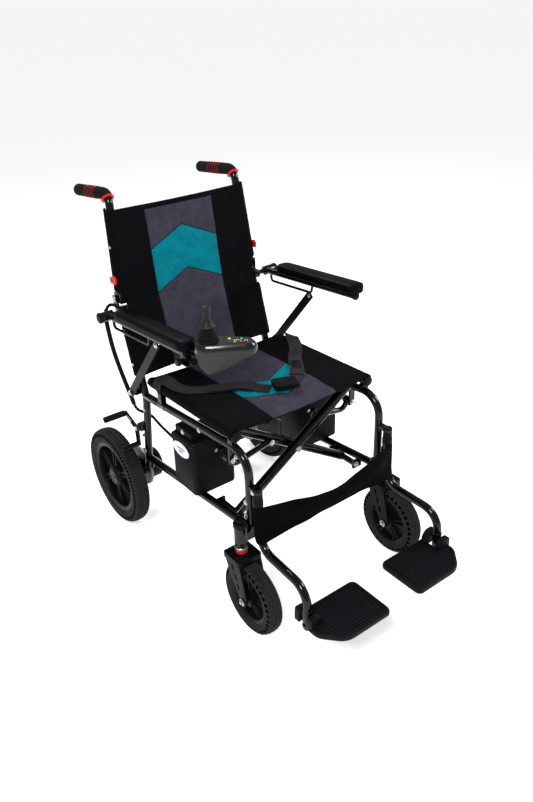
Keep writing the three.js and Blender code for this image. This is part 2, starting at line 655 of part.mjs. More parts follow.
// ---- wheels and casters -------------------------------------------------------------------
// Windows between the spokes, as sector-shaped plugs through the web of a wheel.
function spokeWindows(count, inner, outer, share) {
  const windows = [];
  for (let i = 0; i < count; i++) {
    const middle = 2 * Math.PI * (i + 0.5) / count;
    const spread = Math.PI / count * share;
    const at = (r, a) => [r * Math.sin(a), r * Math.cos(a)];
    windows.push(sidePlate([at(inner, middle - spread * 0.7), at(outer, middle - spread),
      at(outer * 1.04, middle), at(outer, middle + spread), at(inner, middle + spread * 0.7)], -30, 30));
  }
  return windows;
}

function wheelRim() {
  const { rimR, hubR } = WHEEL;
  const profile = [[-22, 0], [-22, 22], [-18, 30], [-8, hubR], [-8, 97], [-20, 101], [-20, rimR], [20, rimR],
    [20, 101], [0, 97], [0, hubR], [18, 30], [18, 8], [90, 8], [90, 0]];
  return cut(turned(profile, WHEEL.sides), ...spokeWindows(6, 42, 86, 0.72))
    .translate(-WHEEL.x, WHEEL.y, WHEEL.r);
}

function tyre(radius, width, bore, sides) {
  const h = width / 2;
  const depth = radius - bore;
  const share = (w, d) => [w * h, bore + depth * d];
  return turned([share(-0.9, 0), share(-1, 0.25), share(-1, 0.55), share(-0.78, 0.82), share(-0.4, 0.965),
    share(0, 1), share(0.4, 0.965), share(0.78, 0.82), share(1, 0.55), share(1, 0.25), share(0.9, 0),
    share(-0.9, 0)], sides);
}

function casterRim() {
  const { rimR, hubR } = CASTER;
  const profile = [[-22, 6.6], [-22, hubR], [-6, 22], [-6, 58], [-17, 63], [-17, rimR], [17, rimR], [17, 63],
    [6, 58], [6, 22], [22, hubR], [22, 6.6], [-22, 6.6]];
  return cut(turned(profile, CASTER.sides), ...spokeWindows(5, 29, 50, 0.66))
    .translate(-CASTER.x, CASTER.axleY, CASTER.r);
}

// Three slots through both legs of the fork, end to end down the slope of the legs.
function forkSlots() {
  const [dy, dz] = [-0.37, -0.929];
  return [[-230, 192], [-240, 167], [-250, 142]].map(([y, z]) => {
    const corner = (along, across) => [y + along * dy - across * dz, z + along * dz + across * dy];
    return sidePlate([corner(-9, -2), corner(-6.5, -3.2), corner(6.5, -3.2), corner(9, -2), corner(9, 2),
      corner(6.5, 3.2), corner(-6.5, 3.2), corner(-9, 2)], -CASTER.x - 40, -CASTER.x + 40);
  });
}

function casterFork() {
  const { x, stemY, axleY, r } = CASTER;
  const { bottom, top, halfWidth, front, back } = CROWN;
  const leg = [[back - 4, top - 6], [front + 4, top - 6], [axleY - 16, r + 16], [axleY - 10, r - 12],
    [axleY + 10, r - 12], [axleY + 16, r + 10], [back - 22, bottom - 36]];
  const fork = join(
    block([-x - halfWidth, front, bottom], [-x + halfWidth, back, top]),
    sidePlate(leg, -x - 34, -x - 27),
    sidePlate(leg, -x + 27, -x + 34),
    tube([[-x - 41, axleY, r], [-x + 41, axleY, r]], 6),
    tube([[-x, stemY, top - 4], [-x, stemY, BARREL.bottom - 0.6]], 13, 0, 16),
    tube([[-x, stemY, top], [-x, stemY, BARREL.top + 8]], 8, 0, 16),
    tube([[-x, stemY, BARREL.top + 0.6], [-x, stemY, BARREL.top + 9]], 11, 0, 12),
  );
  return cut(fork, ...forkSlots());
}

addPair('wheel_rim', wheelRim(), 'plastic');
addPair('wheel_tyre', tyre(WHEEL.r, WHEEL.width, WHEEL.rimR + GAP, WHEEL.sides)
  .translate(-WHEEL.x, WHEEL.y, WHEEL.r), 'rubber');
addPair('caster_fork', casterFork(), 'plastic');
addPair('caster_rim', casterRim(), 'plastic');
addPair('caster_tyre', tyre(CASTER.r, CASTER.width, CASTER.rimR + GAP, CASTER.sides)
  .translate(-CASTER.x, CASTER.axleY, CASTER.r), 'rubber');

// ---- swing-away hangers and footplates ----------------------------------------------------
function hanger() {
  const { x, y, top, footX, footY } = HANGER;
  const leg = join(
    tube([[-x, y, top], [-x, y - 5, 243], [-footX + 1, footY + 5, 238], [-footX, footY, 124]],
      TUBE_R, 52, 16, 6),
    block([-footX - 13, footY - 14, 120], [-footX + 13, footY + 14, 182]),
  );
  return cut(leg,
    tube([[-x, y, top + 2], [-x, y, top - 46]], 6.1, 0, 10),
    tube([[-footX, footY - 20, FOOT_AXIS_Z], [-footX, footY + 20, FOOT_AXIS_Z]], 5.6, 0, 10));
}

function footplate() {
  const { top, bottom, inner, rear, front } = FOOTPLATE;
  const x = -HANGER.footX;
  const y = HANGER.footY;
  const z = FOOT_AXIS_Z;
  const outline = [[-inner, rear], [x + 21, rear], [x + 21, y - 16], [x - 14, y - 16], [x - 14, y - 50],
    [x + 34, front], [-inner - 8, front], [-inner, front + 10]];
  const lug = [[x - 14, bottom], [x + 26, bottom], [x + 26, top], [x + 10, z + 12], [x - 10, z + 12],
    [x - 14, z]];
  return join(
    flatPlate(outline, bottom, top),
    frontPlate(lug, y - 32, y - 16),
    frontPlate(lug, y + 16, y + 32),
    tube([[x, y - 30, z], [x, y + 30, z]], 5, 0, 10),
  );
}

addPair('hanger', hanger(), 'frame');
addPair('footplate', footplate(), 'plastic');

// ---- wheel locks --------------------------------------------------------------------------
function brakeLever() {
  const { x, y, z, shoeDrop, shoeR } = BRAKE;
  const arm = [[y - 9, z + 8], [y + 4, z + 10], [y + 60, z + 31], [y + 64, z + 21], [y + 10, z - 6],
    [y + 8, z - shoeDrop - 4], [y - 8, z - shoeDrop - 4]];
  const lever = join(
    sidePlate(arm, -x - 3, -x + 3),
    tube([[-x, y, z - shoeDrop], [-298, y, z - shoeDrop]], shoeR, 0, 12),
    tube([[-x + 1, y + 60, z + 25], [-262, y + 62, z + 25], [-307, y + 86, z + 10]], 8, 12, 10, 3),
  );
  return cut(lever, tube([[-x - 8, y, z], [-x + 8, y, z]], 4.6, 0, 10));
}

addPair('brake_lever', brakeLever(), 'frame');

export default wheelchair;
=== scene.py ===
"""A folding power wheelchair: the looks of every part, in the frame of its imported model.

Lengths are in millimetres in this script, in the frame's directions: -Y is the way the rider faces, +X the
rider's left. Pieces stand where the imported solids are: box("node") gives a solid's corners.
"""

import json
import math

import bmesh
import bpy
import numpy as np
from mathutils import Matrix, Vector, noise


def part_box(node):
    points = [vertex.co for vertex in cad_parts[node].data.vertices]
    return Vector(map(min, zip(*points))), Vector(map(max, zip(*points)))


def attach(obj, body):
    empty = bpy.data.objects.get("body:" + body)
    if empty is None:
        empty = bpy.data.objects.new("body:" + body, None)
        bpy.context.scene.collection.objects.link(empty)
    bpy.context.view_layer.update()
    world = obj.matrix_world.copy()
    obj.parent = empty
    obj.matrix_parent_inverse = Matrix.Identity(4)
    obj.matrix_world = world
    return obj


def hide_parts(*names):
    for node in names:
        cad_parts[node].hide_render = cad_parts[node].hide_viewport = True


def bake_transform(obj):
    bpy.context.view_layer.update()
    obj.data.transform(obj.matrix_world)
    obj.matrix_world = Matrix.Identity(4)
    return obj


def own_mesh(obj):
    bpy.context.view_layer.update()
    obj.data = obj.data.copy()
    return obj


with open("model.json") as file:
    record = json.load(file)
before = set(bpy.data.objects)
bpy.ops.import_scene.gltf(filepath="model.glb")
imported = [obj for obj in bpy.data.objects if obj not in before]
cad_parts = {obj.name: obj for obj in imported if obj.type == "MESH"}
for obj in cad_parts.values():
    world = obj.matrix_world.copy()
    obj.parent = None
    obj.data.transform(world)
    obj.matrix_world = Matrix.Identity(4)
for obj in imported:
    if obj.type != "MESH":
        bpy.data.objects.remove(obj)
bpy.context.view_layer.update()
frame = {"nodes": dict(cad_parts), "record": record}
MM = 0.001
BEHAVIOUR = frame["record"]["behaviour"]
BODY = {node: body for body, nodes in BEHAVIOUR["bodies"].items() for node in nodes}
SLOT = {part["node"]: part["material_slot"] for part in frame["record"]["subparts"]}
SIDES = (("right", -1), ("left", 1))
TURN = 2 * math.pi


def box(node):
    """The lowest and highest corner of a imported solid, in millimetres."""
    low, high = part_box(node)
    return low / MM, high / MM


def middle(node):
    """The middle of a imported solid, in millimetres."""
    low, high = box(node)
    return (low + high) / 2


# ---- camera -------------------------------------------------------------------------------
AIM = Vector((27.8, 21.7, 448.4))
AZIMUTH, ELEVATION, ROLL = (math.radians(a) for a in (-36.81, 29.30, -1.81))
DISTANCE = 2149
LENS = 34.71


def make_camera():
    """The camera that stands where the photograph was taken from."""
    data = bpy.data.cameras.new("camera")
    data.lens = LENS
    camera = bpy.data.objects.new("camera", data)
    bpy.context.scene.collection.objects.link(camera)
    back = Vector((math.sin(AZIMUTH) * math.cos(ELEVATION), -math.cos(AZIMUTH) * math.cos(ELEVATION),
                   math.sin(ELEVATION)))
    right = Vector((0, 0, 1)).cross(back).normalized()
    up = back.cross(right)
    c, s = math.cos(ROLL), math.sin(ROLL)
    turn = Matrix((c * right + s * up, c * up - s * right, back)).transposed()
    camera.matrix_world = Matrix.Translation((AIM + back * DISTANCE) * MM) @ turn.to_4x4()
    bpy.context.scene.camera = camera


make_camera()


# ---- materials ----------------------------------------------------------------------------
class Finish:
    """A Principled material whose colour, roughness and bump come from procedural textures."""

    def __init__(self, name, roughness=0.5, metallic=0.0, **sockets):
        """The shader, with other sockets given by name, spaces as underscores."""
        self.material = bpy.data.materials.new(name)
        self.material.use_nodes = True
        self.tree = self.material.node_tree
        self.shader = self.tree.nodes["Principled BSDF"]
        self.set(self.shader, Roughness=roughness, Metallic=metallic, **sockets)
        self.where = self.node("ShaderNodeTexCoord").outputs["Object"]

    @staticmethod
    def set(node, **sockets):
        """Sets constant inputs of a node; an underscore in a name stands for a space."""
        for name, value in sockets.items():
            node.inputs[name.replace("_", " ")].default_value = value
        return node

    def node(self, kind, **settings):
        """A new node of the material's tree."""
        node = self.tree.nodes.new(kind)
        for name, value in settings.items():
            setattr(node, name, value)
        return node

    def link(self, source, target):
        """Joins an output to an input."""
        self.tree.links.new(source, target)

    def noise(self, scale, detail=3, stretch=(1, 1, 1)):
        """Noise over the piece's own coordinates."""
        place = self.node("ShaderNodeMapping")
        place.inputs["Scale"].default_value = stretch
        self.link(self.where, place.inputs["Vector"])
        node = self.set(self.node("ShaderNodeTexNoise"), Scale=scale, Detail=detail)
        self.link(place.outputs["Vector"], node.inputs["Vector"])
        return node.outputs["Fac"]

    def math(self, operation, a, b=0.0):
        """A math node on two numbers or sockets."""
        node = self.node("ShaderNodeMath", operation=operation)
        for socket, value in zip(node.inputs, (a, b)):
            if isinstance(value, (int, float)):
                socket.default_value = value
            else:
                self.link(value, socket)
        return node.outputs[0]

    def ramp(self, factor, *stops):
        """Colours at positions: each stop is (position, colour)."""
        node = self.node("ShaderNodeValToRGB")
        elements = node.color_ramp.elements
        while len(elements) < len(stops):
            elements.new(0.5)
        for element, (at, colour) in zip(elements, stops):
            element.position = at
            element.color = (*colour, 1)
        self.link(factor, node.inputs["Fac"])
        return node.outputs["Color"]

    def mix(self, factor, a, b):
        """A blend from colour a to colour b."""
        node = self.node("ShaderNodeMix", data_type="RGBA")
        for socket, value in zip((node.inputs["Factor"], node.inputs["A"], node.inputs["B"]), (factor, a, b)):
            if isinstance(value, tuple):
                socket.default_value = (*value, 1)
            else:
                self.link(value, socket)
        return node.outputs["Result"]

    def bump(self, height, distance, strength=1.0, after=None):
        """Relief of a height in millimetres, on top of an earlier one."""
        node = self.set(self.node("ShaderNodeBump"), Distance=distance * MM, Strength=strength)
        self.link(height, node.inputs["Height"])
        if after:
            self.link(after, node.inputs["Normal"])
        self.link(node.outputs["Normal"], self.shader.inputs["Normal"])
        return node.outputs["Normal"]

    def colour(self, socket):
        """The base colour."""
        self.link(socket, self.shader.inputs["Base Color"])

    def roughen(self, factor, low, high):
        """Roughness between two values."""
        node = self.set(self.node("ShaderNodeMapRange"), To_Min=low, To_Max=high)
        self.link(factor, node.inputs["Value"])
        self.link(node.outputs["Result"], self.shader.inputs["Roughness"])


def shade(colour, factor):
    """A colour made darker or lighter."""
    return tuple(min(1, c * factor) for c in colour)


def moulded(name, colour, rough=(0.4, 0.6), grain=900, depth=0.12, spread=0.25, wear=1.8, gloss=0.2,
            **sockets):
    """Plastic, rubber or paint: cloudy tone, fine grain, and edges rubbed lighter."""
    f = Finish(name, Specular_IOR_Level=gloss, **sockets)
    tone = f.ramp(f.noise(14), (0.3, shade(colour, 1 - spread)), (0.7, shade(colour, 1 + spread)))
    corners = f.node("ShaderNodeNewGeometry").outputs["Pointiness"]
    edge = f.ramp(corners, (0.5, (0, 0, 0)), (0.62, (1, 1, 1)))
    f.colour(f.mix(f.math("MULTIPLY", edge, f.noise(120)), tone, shade(colour, wear)))
    f.roughen(f.noise(45, 4), *rough)
    f.bump(f.noise(grain, 2), depth)
    return f.material


def woven(name, colour, pitch=1.3, depth=0.25, sheen=0.02):
    """Cloth or webbing: crossed threads and uneven dye."""
    f = Finish(name, roughness=0.85, Sheen_Weight=sheen, Sheen_Roughness=0.5, Specular_IOR_Level=0.05)
    f.colour(f.ramp(f.noise(22, 5), (0.3, shade(colour, 0.7)), (0.72, shade(colour, 1.35))))
    f.roughen(f.noise(60), 0.75, 0.95)
    f.bump(threads(f, f.where, pitch), depth, after=f.bump(f.noise(70, 4), 0.5))
    return f.material


def threads(f, where, pitch):
    """Two crossed sets of threads, pitch millimetres apart."""
    scale = TURN / (20 * pitch * MM)
    waves = []
    for direction in "XZ":
        wave = f.set(f.node("ShaderNodeTexWave", bands_direction=direction), Scale=scale, Distortion=0.4)
        f.link(where, wave.inputs["Vector"])
        waves.append(wave.outputs["Fac"])
    return f.math("ADD", *waves)


def upholstery(name, top, bottom, half, slope, hem):
    """Black cloth, piped at the joins, whose slate middle has a teal chevron between two heights."""
    f = Finish(name, roughness=0.75, Specular_IOR_Level=0.045)
    flat = f.node("ShaderNodeUVMap", uv_map="cloth").outputs["UV"]
    part = f.node("ShaderNodeSeparateXYZ")
    f.link(flat, part.inputs[0])
    up = part.outputs["Y"]
    across = f.math("ABSOLUTE", part.outputs["X"])
    rise = f.math("ADD", up, f.math("MULTIPLY", across, slope))

    def both(*pairs):
        """1 where the first of each pair is less than the second."""
        return f.math("MULTIPLY", *(f.math("LESS_THAN", *pair) for pair in pairs))

    centre = both((across, half * MM), (up, hem * MM))
    chevron = both((bottom * MM, rise), (rise, top * MM))
    joins = [f.math("LESS_THAN", f.math("ABSOLUTE", f.math("SUBTRACT", *pair)), 1.6 * MM)
             for pair in ((across, half * MM), (rise, top * MM), (rise, bottom * MM))]
    piping = f.math("MAXIMUM", joins[0], f.math("MULTIPLY", f.math("MAXIMUM", joins[1], joins[2]), centre))
    cloud = f.noise(34, 6)
    slate = f.ramp(cloud, (0.3, (0.030, 0.027, 0.041)), (0.75, (0.045, 0.041, 0.060)))
    teal = f.ramp(cloud, (0.3, (0.0, 0.125, 0.165)), (0.75, (0.0, 0.18, 0.23)))
    black = f.ramp(cloud, (0.3, (0.0012, 0.0009, 0.0014)), (0.75, (0.0022, 0.0018, 0.0025)))
    cloth = f.mix(centre, black, f.mix(chevron, slate, teal))
    f.colour(f.mix(piping, cloth, (0.006, 0.005, 0.008)))
    f.roughen(cloud, 0.58, 0.85)
    wrinkle = f.math("MULTIPLY", f.noise(130, 8, (1.3, 1, 0.8)), centre)
    f.bump(threads(f, flat, 1.1), 0.1, after=f.bump(wrinkle, 1.6, 0.9))
    return f.material


def metal(name, colour, rough=(0.2, 0.42)):
    """Bare metal: a cloudy tone and fine scratches."""
    f = Finish(name, metallic=1.0)
    f.colour(f.ramp(f.noise(30), (0.3, shade(colour, 0.8)), (0.7, colour)))
    f.roughen(f.noise(260, 4), *rough)
    f.bump(f.noise(500), 0.04)
    return f.material


ENAMEL = moulded("black_enamel", (0.0013, 0.0012, 0.0015), (0.10, 0.2), 160, 0.04, wear=6, gloss=0.03,
                 Coat_Weight=0.5, Coat_Roughness=0.06)
SATIN = moulded("satin_enamel", (0.0024, 0.0022, 0.0024), (0.3, 0.42), 300, 0.05, wear=6, gloss=0.09)
PLASTIC = moulded("black_plastic", (0.0022, 0.002, 0.0023), (0.28, 0.46), wear=6, gloss=0.07)
CASING = moulded("textured_casing", (0.0022, 0.0018, 0.002), (0.34, 0.5), 1300, 0.25, wear=9, gloss=0.04)
PAD = moulded("arm_pad_skin", (0.0015, 0.0015, 0.002), (0.34, 0.5), 700, 0.2, wear=5, gloss=0.035)
RUBBER = moulded("rubber", (0.0042, 0.0038, 0.004), (0.5, 0.75), 500, 0.2, wear=3, gloss=0.07)
TYRE = moulded("tyre_rubber", (0.0100, 0.0090, 0.0090), (0.6, 0.85), 420, 0.25, wear=8, gloss=0.09)
# Near-black for the faces inside the tyre's wall pits: painted shade in the recesses.
PIT_SHADE = moulded("tyre_pit_shade", (0.0008, 0.0007, 0.0007), (0.8, 0.95), wear=1.0, gloss=0.0)
FOAM = moulded("grip_foam", (0.008, 0.007, 0.007), (0.85, 1.0), 520, 0.9, wear=2, gloss=0.06)
WEBBING = woven("webbing", (0.022, 0.019, 0.020), pitch=1.6, depth=0.4)
BLACK_CLOTH = woven("black_cloth", (0.0014, 0.0012, 0.0016), sheen=0.0)
STEEL = metal("zinc_steel", (0.62, 0.63, 0.65))
CAST = metal("cast_flange", (0.2, 0.195, 0.2), (0.35, 0.6))
RED, GREEN, YELLOW = (moulded(f"{name}_plastic", colour, (0.25, 0.4), depth=0.05, spread=0.1, wear=wear)
                      for name, colour, wear in (("red", (0.58, 0.008, 0.010), 1.2),
                                                 ("green", (0.02, 0.45, 0.14), 1.2),
                                                 ("yellow", (0.75, 0.48, 0.02), 1.1)))
LABEL, LABEL_BLUE = (moulded(name, colour, (0.25, 0.35), depth=0.03, spread=spread, wear=1.0)
                     for name, colour, spread in (("label_film", (0.74, 0.76, 0.86), 0.04),
                                                  ("label_ink", (0.05, 0.12, 0.50), 0.05)))
SCREEN = moulded("keypad_film", (0.005, 0.005, 0.006), (0.12, 0.2), depth=0.03, wear=1.5, Coat_Weight=0.4)
WHEEL_PLASTIC = moulded("wheel_plastic", (0.0034, 0.0031, 0.004), (0.26, 0.4), 500, 0.08, wear=2.5,
                        gloss=0.08)
POD = moulded("pod_shell", (0.0042, 0.004, 0.0046), (0.16, 0.28), 700, 0.05, wear=4, gloss=0.25,
              Coat_Weight=0.3, Coat_Roughness=0.1)
GREY_PLASTIC = moulded("grey_plastic", (0.030, 0.0275, 0.0265), (0.4, 0.55), wear=2.5, gloss=0.15)
KNOB = moulded("knob_rubber", (0.010, 0.0095, 0.010), (0.38, 0.52), 600, 0.08, wear=2.5, gloss=0.15)
PLATE = moulded("footplate_plastic", (0.0032, 0.0028, 0.0036), (0.38, 0.55), 900, 0.15, wear=5, gloss=0.06)
CALF_CLOTH = woven("calf_cloth", (0.0012, 0.001, 0.0012), pitch=1.2, depth=0.3, sheen=0.0)
FLOOR = moulded("floor", (0.86, 0.86, 0.86), (0.8, 0.9), depth=0.05, spread=0.01, wear=1.0, gloss=0.1,
                Emission_Color=(1, 1, 1, 1), Emission_Strength=0.55)
BACK_CHEVRON = {"top": 883, "bottom": 763, "half": 108, "slope": 0.45, "hem": 946}
SEAT_CHEVRON = {"top": -22, "bottom": -110, "half": 105, "slope": -0.5, "hem": 198}
BACK_CLOTH = upholstery("back_upholstery", **BACK_CHEVRON)
SEAT_CLOTH = upholstery("seat_upholstery", **SEAT_CHEVRON)


# ---- meshes -------------------------------------------------------------------------------
def mesh(name, points, faces):
    """A mesh from points in millimetres."""
    data = bpy.data.meshes.new(name)
    data.from_pydata([tuple(c * MM for c in p) for p in points], [], faces)
    return data


def piece(name, points, faces, material, body, slot, stands_for=(), sharp=38):
    """A new piece from points in millimetres. Edges sharper than sharp degrees stay crisp."""
    return dressed(name, mesh(name, points, faces), material, body, stands_for, sharp)


def steel(name, body, *shapes):
    """Bolts and nuts as one steel piece."""
    return piece(name, *parts(*shapes), STEEL, body, "steel")


def shown(name, data):
    """A new object of the scene."""
    obj = bpy.data.objects.new(name, data)
    bpy.context.scene.collection.objects.link(obj)
    return obj


def smoothed(data, sharp):
    """Smooth shading that keeps the edges where faces meet at more than sharp degrees."""
    data.polygons.foreach_set("use_smooth", [True] * len(data.polygons))
    data.set_sharp_from_angle(angle=math.radians(sharp))


def dressed(name, data, material, body, stands_for=(), sharp=38):
    """A mesh as a cleaned piece with its material and body."""
    clean(data)
    obj = shown(name, data)
    data.materials.clear()
    data.materials.append(material)
    smoothed(data, sharp)
    if body:
        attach(obj, body)
    if stands_for:
        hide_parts(*stands_for)
    return obj


def clean(data):
    """Joins points that coincide and turns every face outward."""
    work = bmesh.new()
    work.from_mesh(data)
    bmesh.ops.remove_doubles(work, verts=work.verts, dist=1e-6)
    bmesh.ops.recalc_face_normals(work, faces=work.faces)
    work.to_mesh(data)
    work.free()


def applied(obj):
    """The object with its modifiers made part of its mesh."""
    graph = bpy.context.evaluated_depsgraph_get()
    graph.update()
    data = bpy.data.meshes.new_from_object(obj.evaluated_get(graph))
    obj.modifiers.clear()
    obj.data = data
    return obj


def bevelled(obj, width, segments=2):
    """The object with its crisp edges rounded."""
    bevel = obj.modifiers.new("bevel", "BEVEL")
    bevel.width, bevel.segments, bevel.limit_method = width * MM, segments, "ANGLE"
    bevel.angle_limit = math.radians(38)
    bevel.harden_normals = True
    return applied(obj)


CORNER_RADIUS = 7


def rounded(node, material, width=0.9, segments=2, corner=None):
    """The solid's own shape with its edges rounded, as a casting or a welded part has them. The upright edges
    where corner(x, y) is true get CORNER_RADIUS first."""
    data = frame["nodes"][node].data.copy()
    work = bmesh.new()
    work.from_mesh(data)
    bmesh.ops.remove_doubles(work, verts=work.verts, dist=1e-6)
    bmesh.ops.dissolve_limit(work, angle_limit=math.radians(0.6), verts=work.verts, edges=work.edges)
    if corner:
        upright = [e for e in work.edges if abs(e.verts[0].co.z - e.verts[1].co.z) > 8 * MM
                   and all(corner(v.co.x / MM, v.co.y / MM) for v in e.verts)]
        bmesh.ops.bevel(work, geom=upright, offset=CORNER_RADIUS * MM, segments=6, profile=0.5,
                        affect="EDGES")
    work.to_mesh(data)
    work.free()
    obj = dressed(f"{node}_finished", data, material, BODY[node], (node,))
    return bevelled(obj, width, segments)


def parts(*shapes):
    """Several (points, faces) shapes as one."""
    points, faces = [], []
    for p, f in shapes:
        faces += [tuple(i + len(points) for i in face) for face in f]
        points += [tuple(v) for v in p]
    return points, faces


def carved(obj, *shapes):
    """Holes through an object, each the shape of a (points, faces) plug."""
    data = mesh("plug", *parts(*shapes))
    clean(data)
    plug = shown("plug", data)
    hole = obj.modifiers.new("hole", "BOOLEAN")
    hole.object, hole.operation, hole.solver = plug, "DIFFERENCE", "EXACT"
    applied(obj)
    bpy.data.objects.remove(plug)
    smoothed(obj.data, 32)


def rings_to_faces(count, rings, closed=False):
    """The quads between rings of count points each; closed joins the last ring to the first."""
    faces = []
    for k in range(rings if closed else rings - 1):
        for i in range(count):
            j, n = (i + 1) % count, (k + 1) % rings
            faces.append((k * count + i, k * count + j, n * count + j, n * count + i))
    return faces


def loft(rings):
    """A closed skin through rings of points, with a flat lid on each end."""
    count = len(rings[0])
    last = (len(rings) - 1) * count
    lids = [tuple(range(count))[::-1], tuple(range(last, last + count))]
    return [p for ring in rings for p in ring], rings_to_faces(count, len(rings)) + lids


def ring_of(count, point):
    """point(angle) at count even steps of a turn."""
    return [point(TURN * k / count) for k in range(count)]


def lathe(profile, centre, axis="X", sides=48, closed=False):
    """A turned shape: the profile is (distance along the axis, radius) pairs."""
    place = {"X": lambda d, r, c, s: (d, r * c, r * s), "Y": lambda d, r, c, s: (r * s, d, r * c),
             "Z": lambda d, r, c, s: (r * c, r * s, d)}[axis]
    centre = Vector(centre)
    rings = ring_of(sides, lambda a: [Vector(place(d, r, math.cos(a), math.sin(a))) + centre for d,
                                      r in profile])
    count = len(profile)
    faces = []
    for i in range(sides):
        j = (i + 1) % sides
        for k in range(count if closed else count - 1):
            n = (k + 1) % count
            faces.append((i * count + k, j * count + k, j * count + n, i * count + n))
    if not closed:
        faces += [tuple(i * count for i in range(sides)),
                  tuple(i * count + count - 1 for i in range(sides))[::-1]]
    return [p for ring in rings for p in ring], faces


def bent(corners, radius, step=8):
    """Points along a line whose corners are rounded to a radius."""
    corners = [Vector(c) for c in corners]
    line = [corners[0]]
    for before, corner, after in zip(corners, corners[1:], corners[2:]):
        into, out = (corner - before).normalized(), (after - corner).normalized()
        turn = into.angle(out)
        start = corner - into * radius * math.tan(turn / 2)
        inward = (out - into * out.dot(into)).normalized()
        steps = max(2, math.ceil(math.degrees(turn) / step))
        for k in range(steps + 1):
            a = turn * k / steps
            line.append(start + into * radius * math.sin(a) + inward * radius * (1 - math.cos(a)))
    return line + [corners[-1]]


def distances(line):
    """How far along a line each of its points is."""
    return np.concatenate([[0], np.cumsum([(b - a).length for a, b in zip(line, line[1:])])])


def even(line, spacing):
    """The same line with points an even spacing apart."""
    line = [Vector(p) for p in line]
    lengths = distances(line)
    at = np.linspace(0, lengths[-1], max(2, round(lengths[-1] / spacing) + 1))
    return [Vector([np.interp(t, lengths, [p[k] for p in line]) for k in range(3)]) for t in at]


def smooth_line(points, spacing=4):
    """A smooth line through points (Catmull-Rom), with points an even spacing apart."""
    p = [Vector(q) for q in points]
    p = [p[0] * 2 - p[1], *p, p[-1] * 2 - p[-2]]
    line = []
    for a, b, c, d in zip(p, p[1:], p[2:], p[3:]):
        for k in range(12):
            t = k / 12
            line.append(0.5 * (2 * b + (c - a) * t + (2 * a - 5 * b + 4 * c - d) * t * t
                               + (3 * b - a - 3 * c + d) * t ** 3))
    return even(line + [p[-2]], spacing)


def frames_along(line):
    """Two directions across the line at each of its points, turning as little as they can."""
    ways = [(b - a).normalized() for a, b in zip(line[:-1], line[1:])]
    ways = [ways[0], *[(a + b).normalized() for a, b in zip(ways, ways[1:])], ways[-1]]
    side = ways[0].orthogonal().normalized()
    found = []
    for way in ways:
        side = (side - way * side.dot(way)).normalized()
        found.append((side, way.cross(side)))
    return found


def tube(line, radius, sides=20):
    """A round bar along a line. The radius may be a function of the distance along it."""
    reach = radius if callable(radius) else lambda s: radius
    return loft([ring_of(sides, lambda a: point + (u * math.cos(a) + v * math.sin(a)) * reach(s))
                 for point, (u, v), s in zip(line, frames_along(line), distances(line))])


def brick(low, high):
    """A block between two corners."""
    x, y, z = zip(low, high)
    points = [(a, b, c) for c in z for b in y for a in x]
    return points, [(0, 2, 3, 1), (4, 5, 7, 6), (0, 1, 5, 4), (2, 6, 7, 3), (0, 4, 6, 2), (1, 3, 7, 5)]


def bolt(at, axis, sign, r=6.5, thick=4):
    """A domed bolt head on a washer, facing along sign * axis."""
    profile = [(0, r * 1.35), (1, r * 1.35), (1.2, r), (thick * 0.8, r * 0.92), (thick, r * 0.6),
               (thick + 0.2, r * 0.3)]
    return lathe([(sign * d, q) for d, q in profile], at, axis, 20)


def hex_nut(at, axis, sign, r, thick):
    """A nut with the end of its bolt standing out of it."""
    return lathe([(0, r), (sign * thick, r), (sign * thick, r * 0.55), (sign * (thick + 3), r * 0.5)], at,
                 axis, 6)


def rounded_outline(corners, radii, steps=7):
    """A closed outline whose corners are turned to arcs, each with its own radius."""
    ring, count = [], len(corners)
    for k, radius in enumerate(radii):
        before, corner, after = (Vector(corners[(k + d) % count]) for d in (-1, 0, 1))
        r = min(radius, 0.45 * (before - corner).length, 0.45 * (after - corner).length)
        a, b = corner + (before - corner).normalized() * r, corner + (after - corner).normalized() * r
        for j in range(steps + 1):
            t = j / steps
            ring.append(tuple(a * (1 - t) ** 2 + corner * 2 * t * (1 - t) + b * t * t))
    return ring


# ---- cable --------------------------------------------------------------------------------
# The corrugated cable: from the pod along the armrest, over its pivot and down to the battery.
CABLE_ROUTE = [
    (-238, -87, 724), (-240, -72, 723), (-243, -42, 721), (-244, 0, 718.5), (-244, 60, 714), (-244, 120, 709),
    (-244, 180, 704.5), (-244, 230, 702), (-245, 264, 705), (-246, 288, 713), (-250, 314, 719),
               (-256, 338, 714),
    (-262, 350, 696), (-264, 353, 668), (-263, 349, 630), (-261, 341, 585), (-257, 329, 540),
               (-252, 311, 490),
    (-247, 296, 448), (-240, 291, 414), (-227, 292, 394), (-210, 290, 382), (-197, 278, 370),
               (-190, 240, 350),
    (-186, 190, 338), (-185, 140, 333), (-185, 84, 332),
]
CABLE_R = 4.5


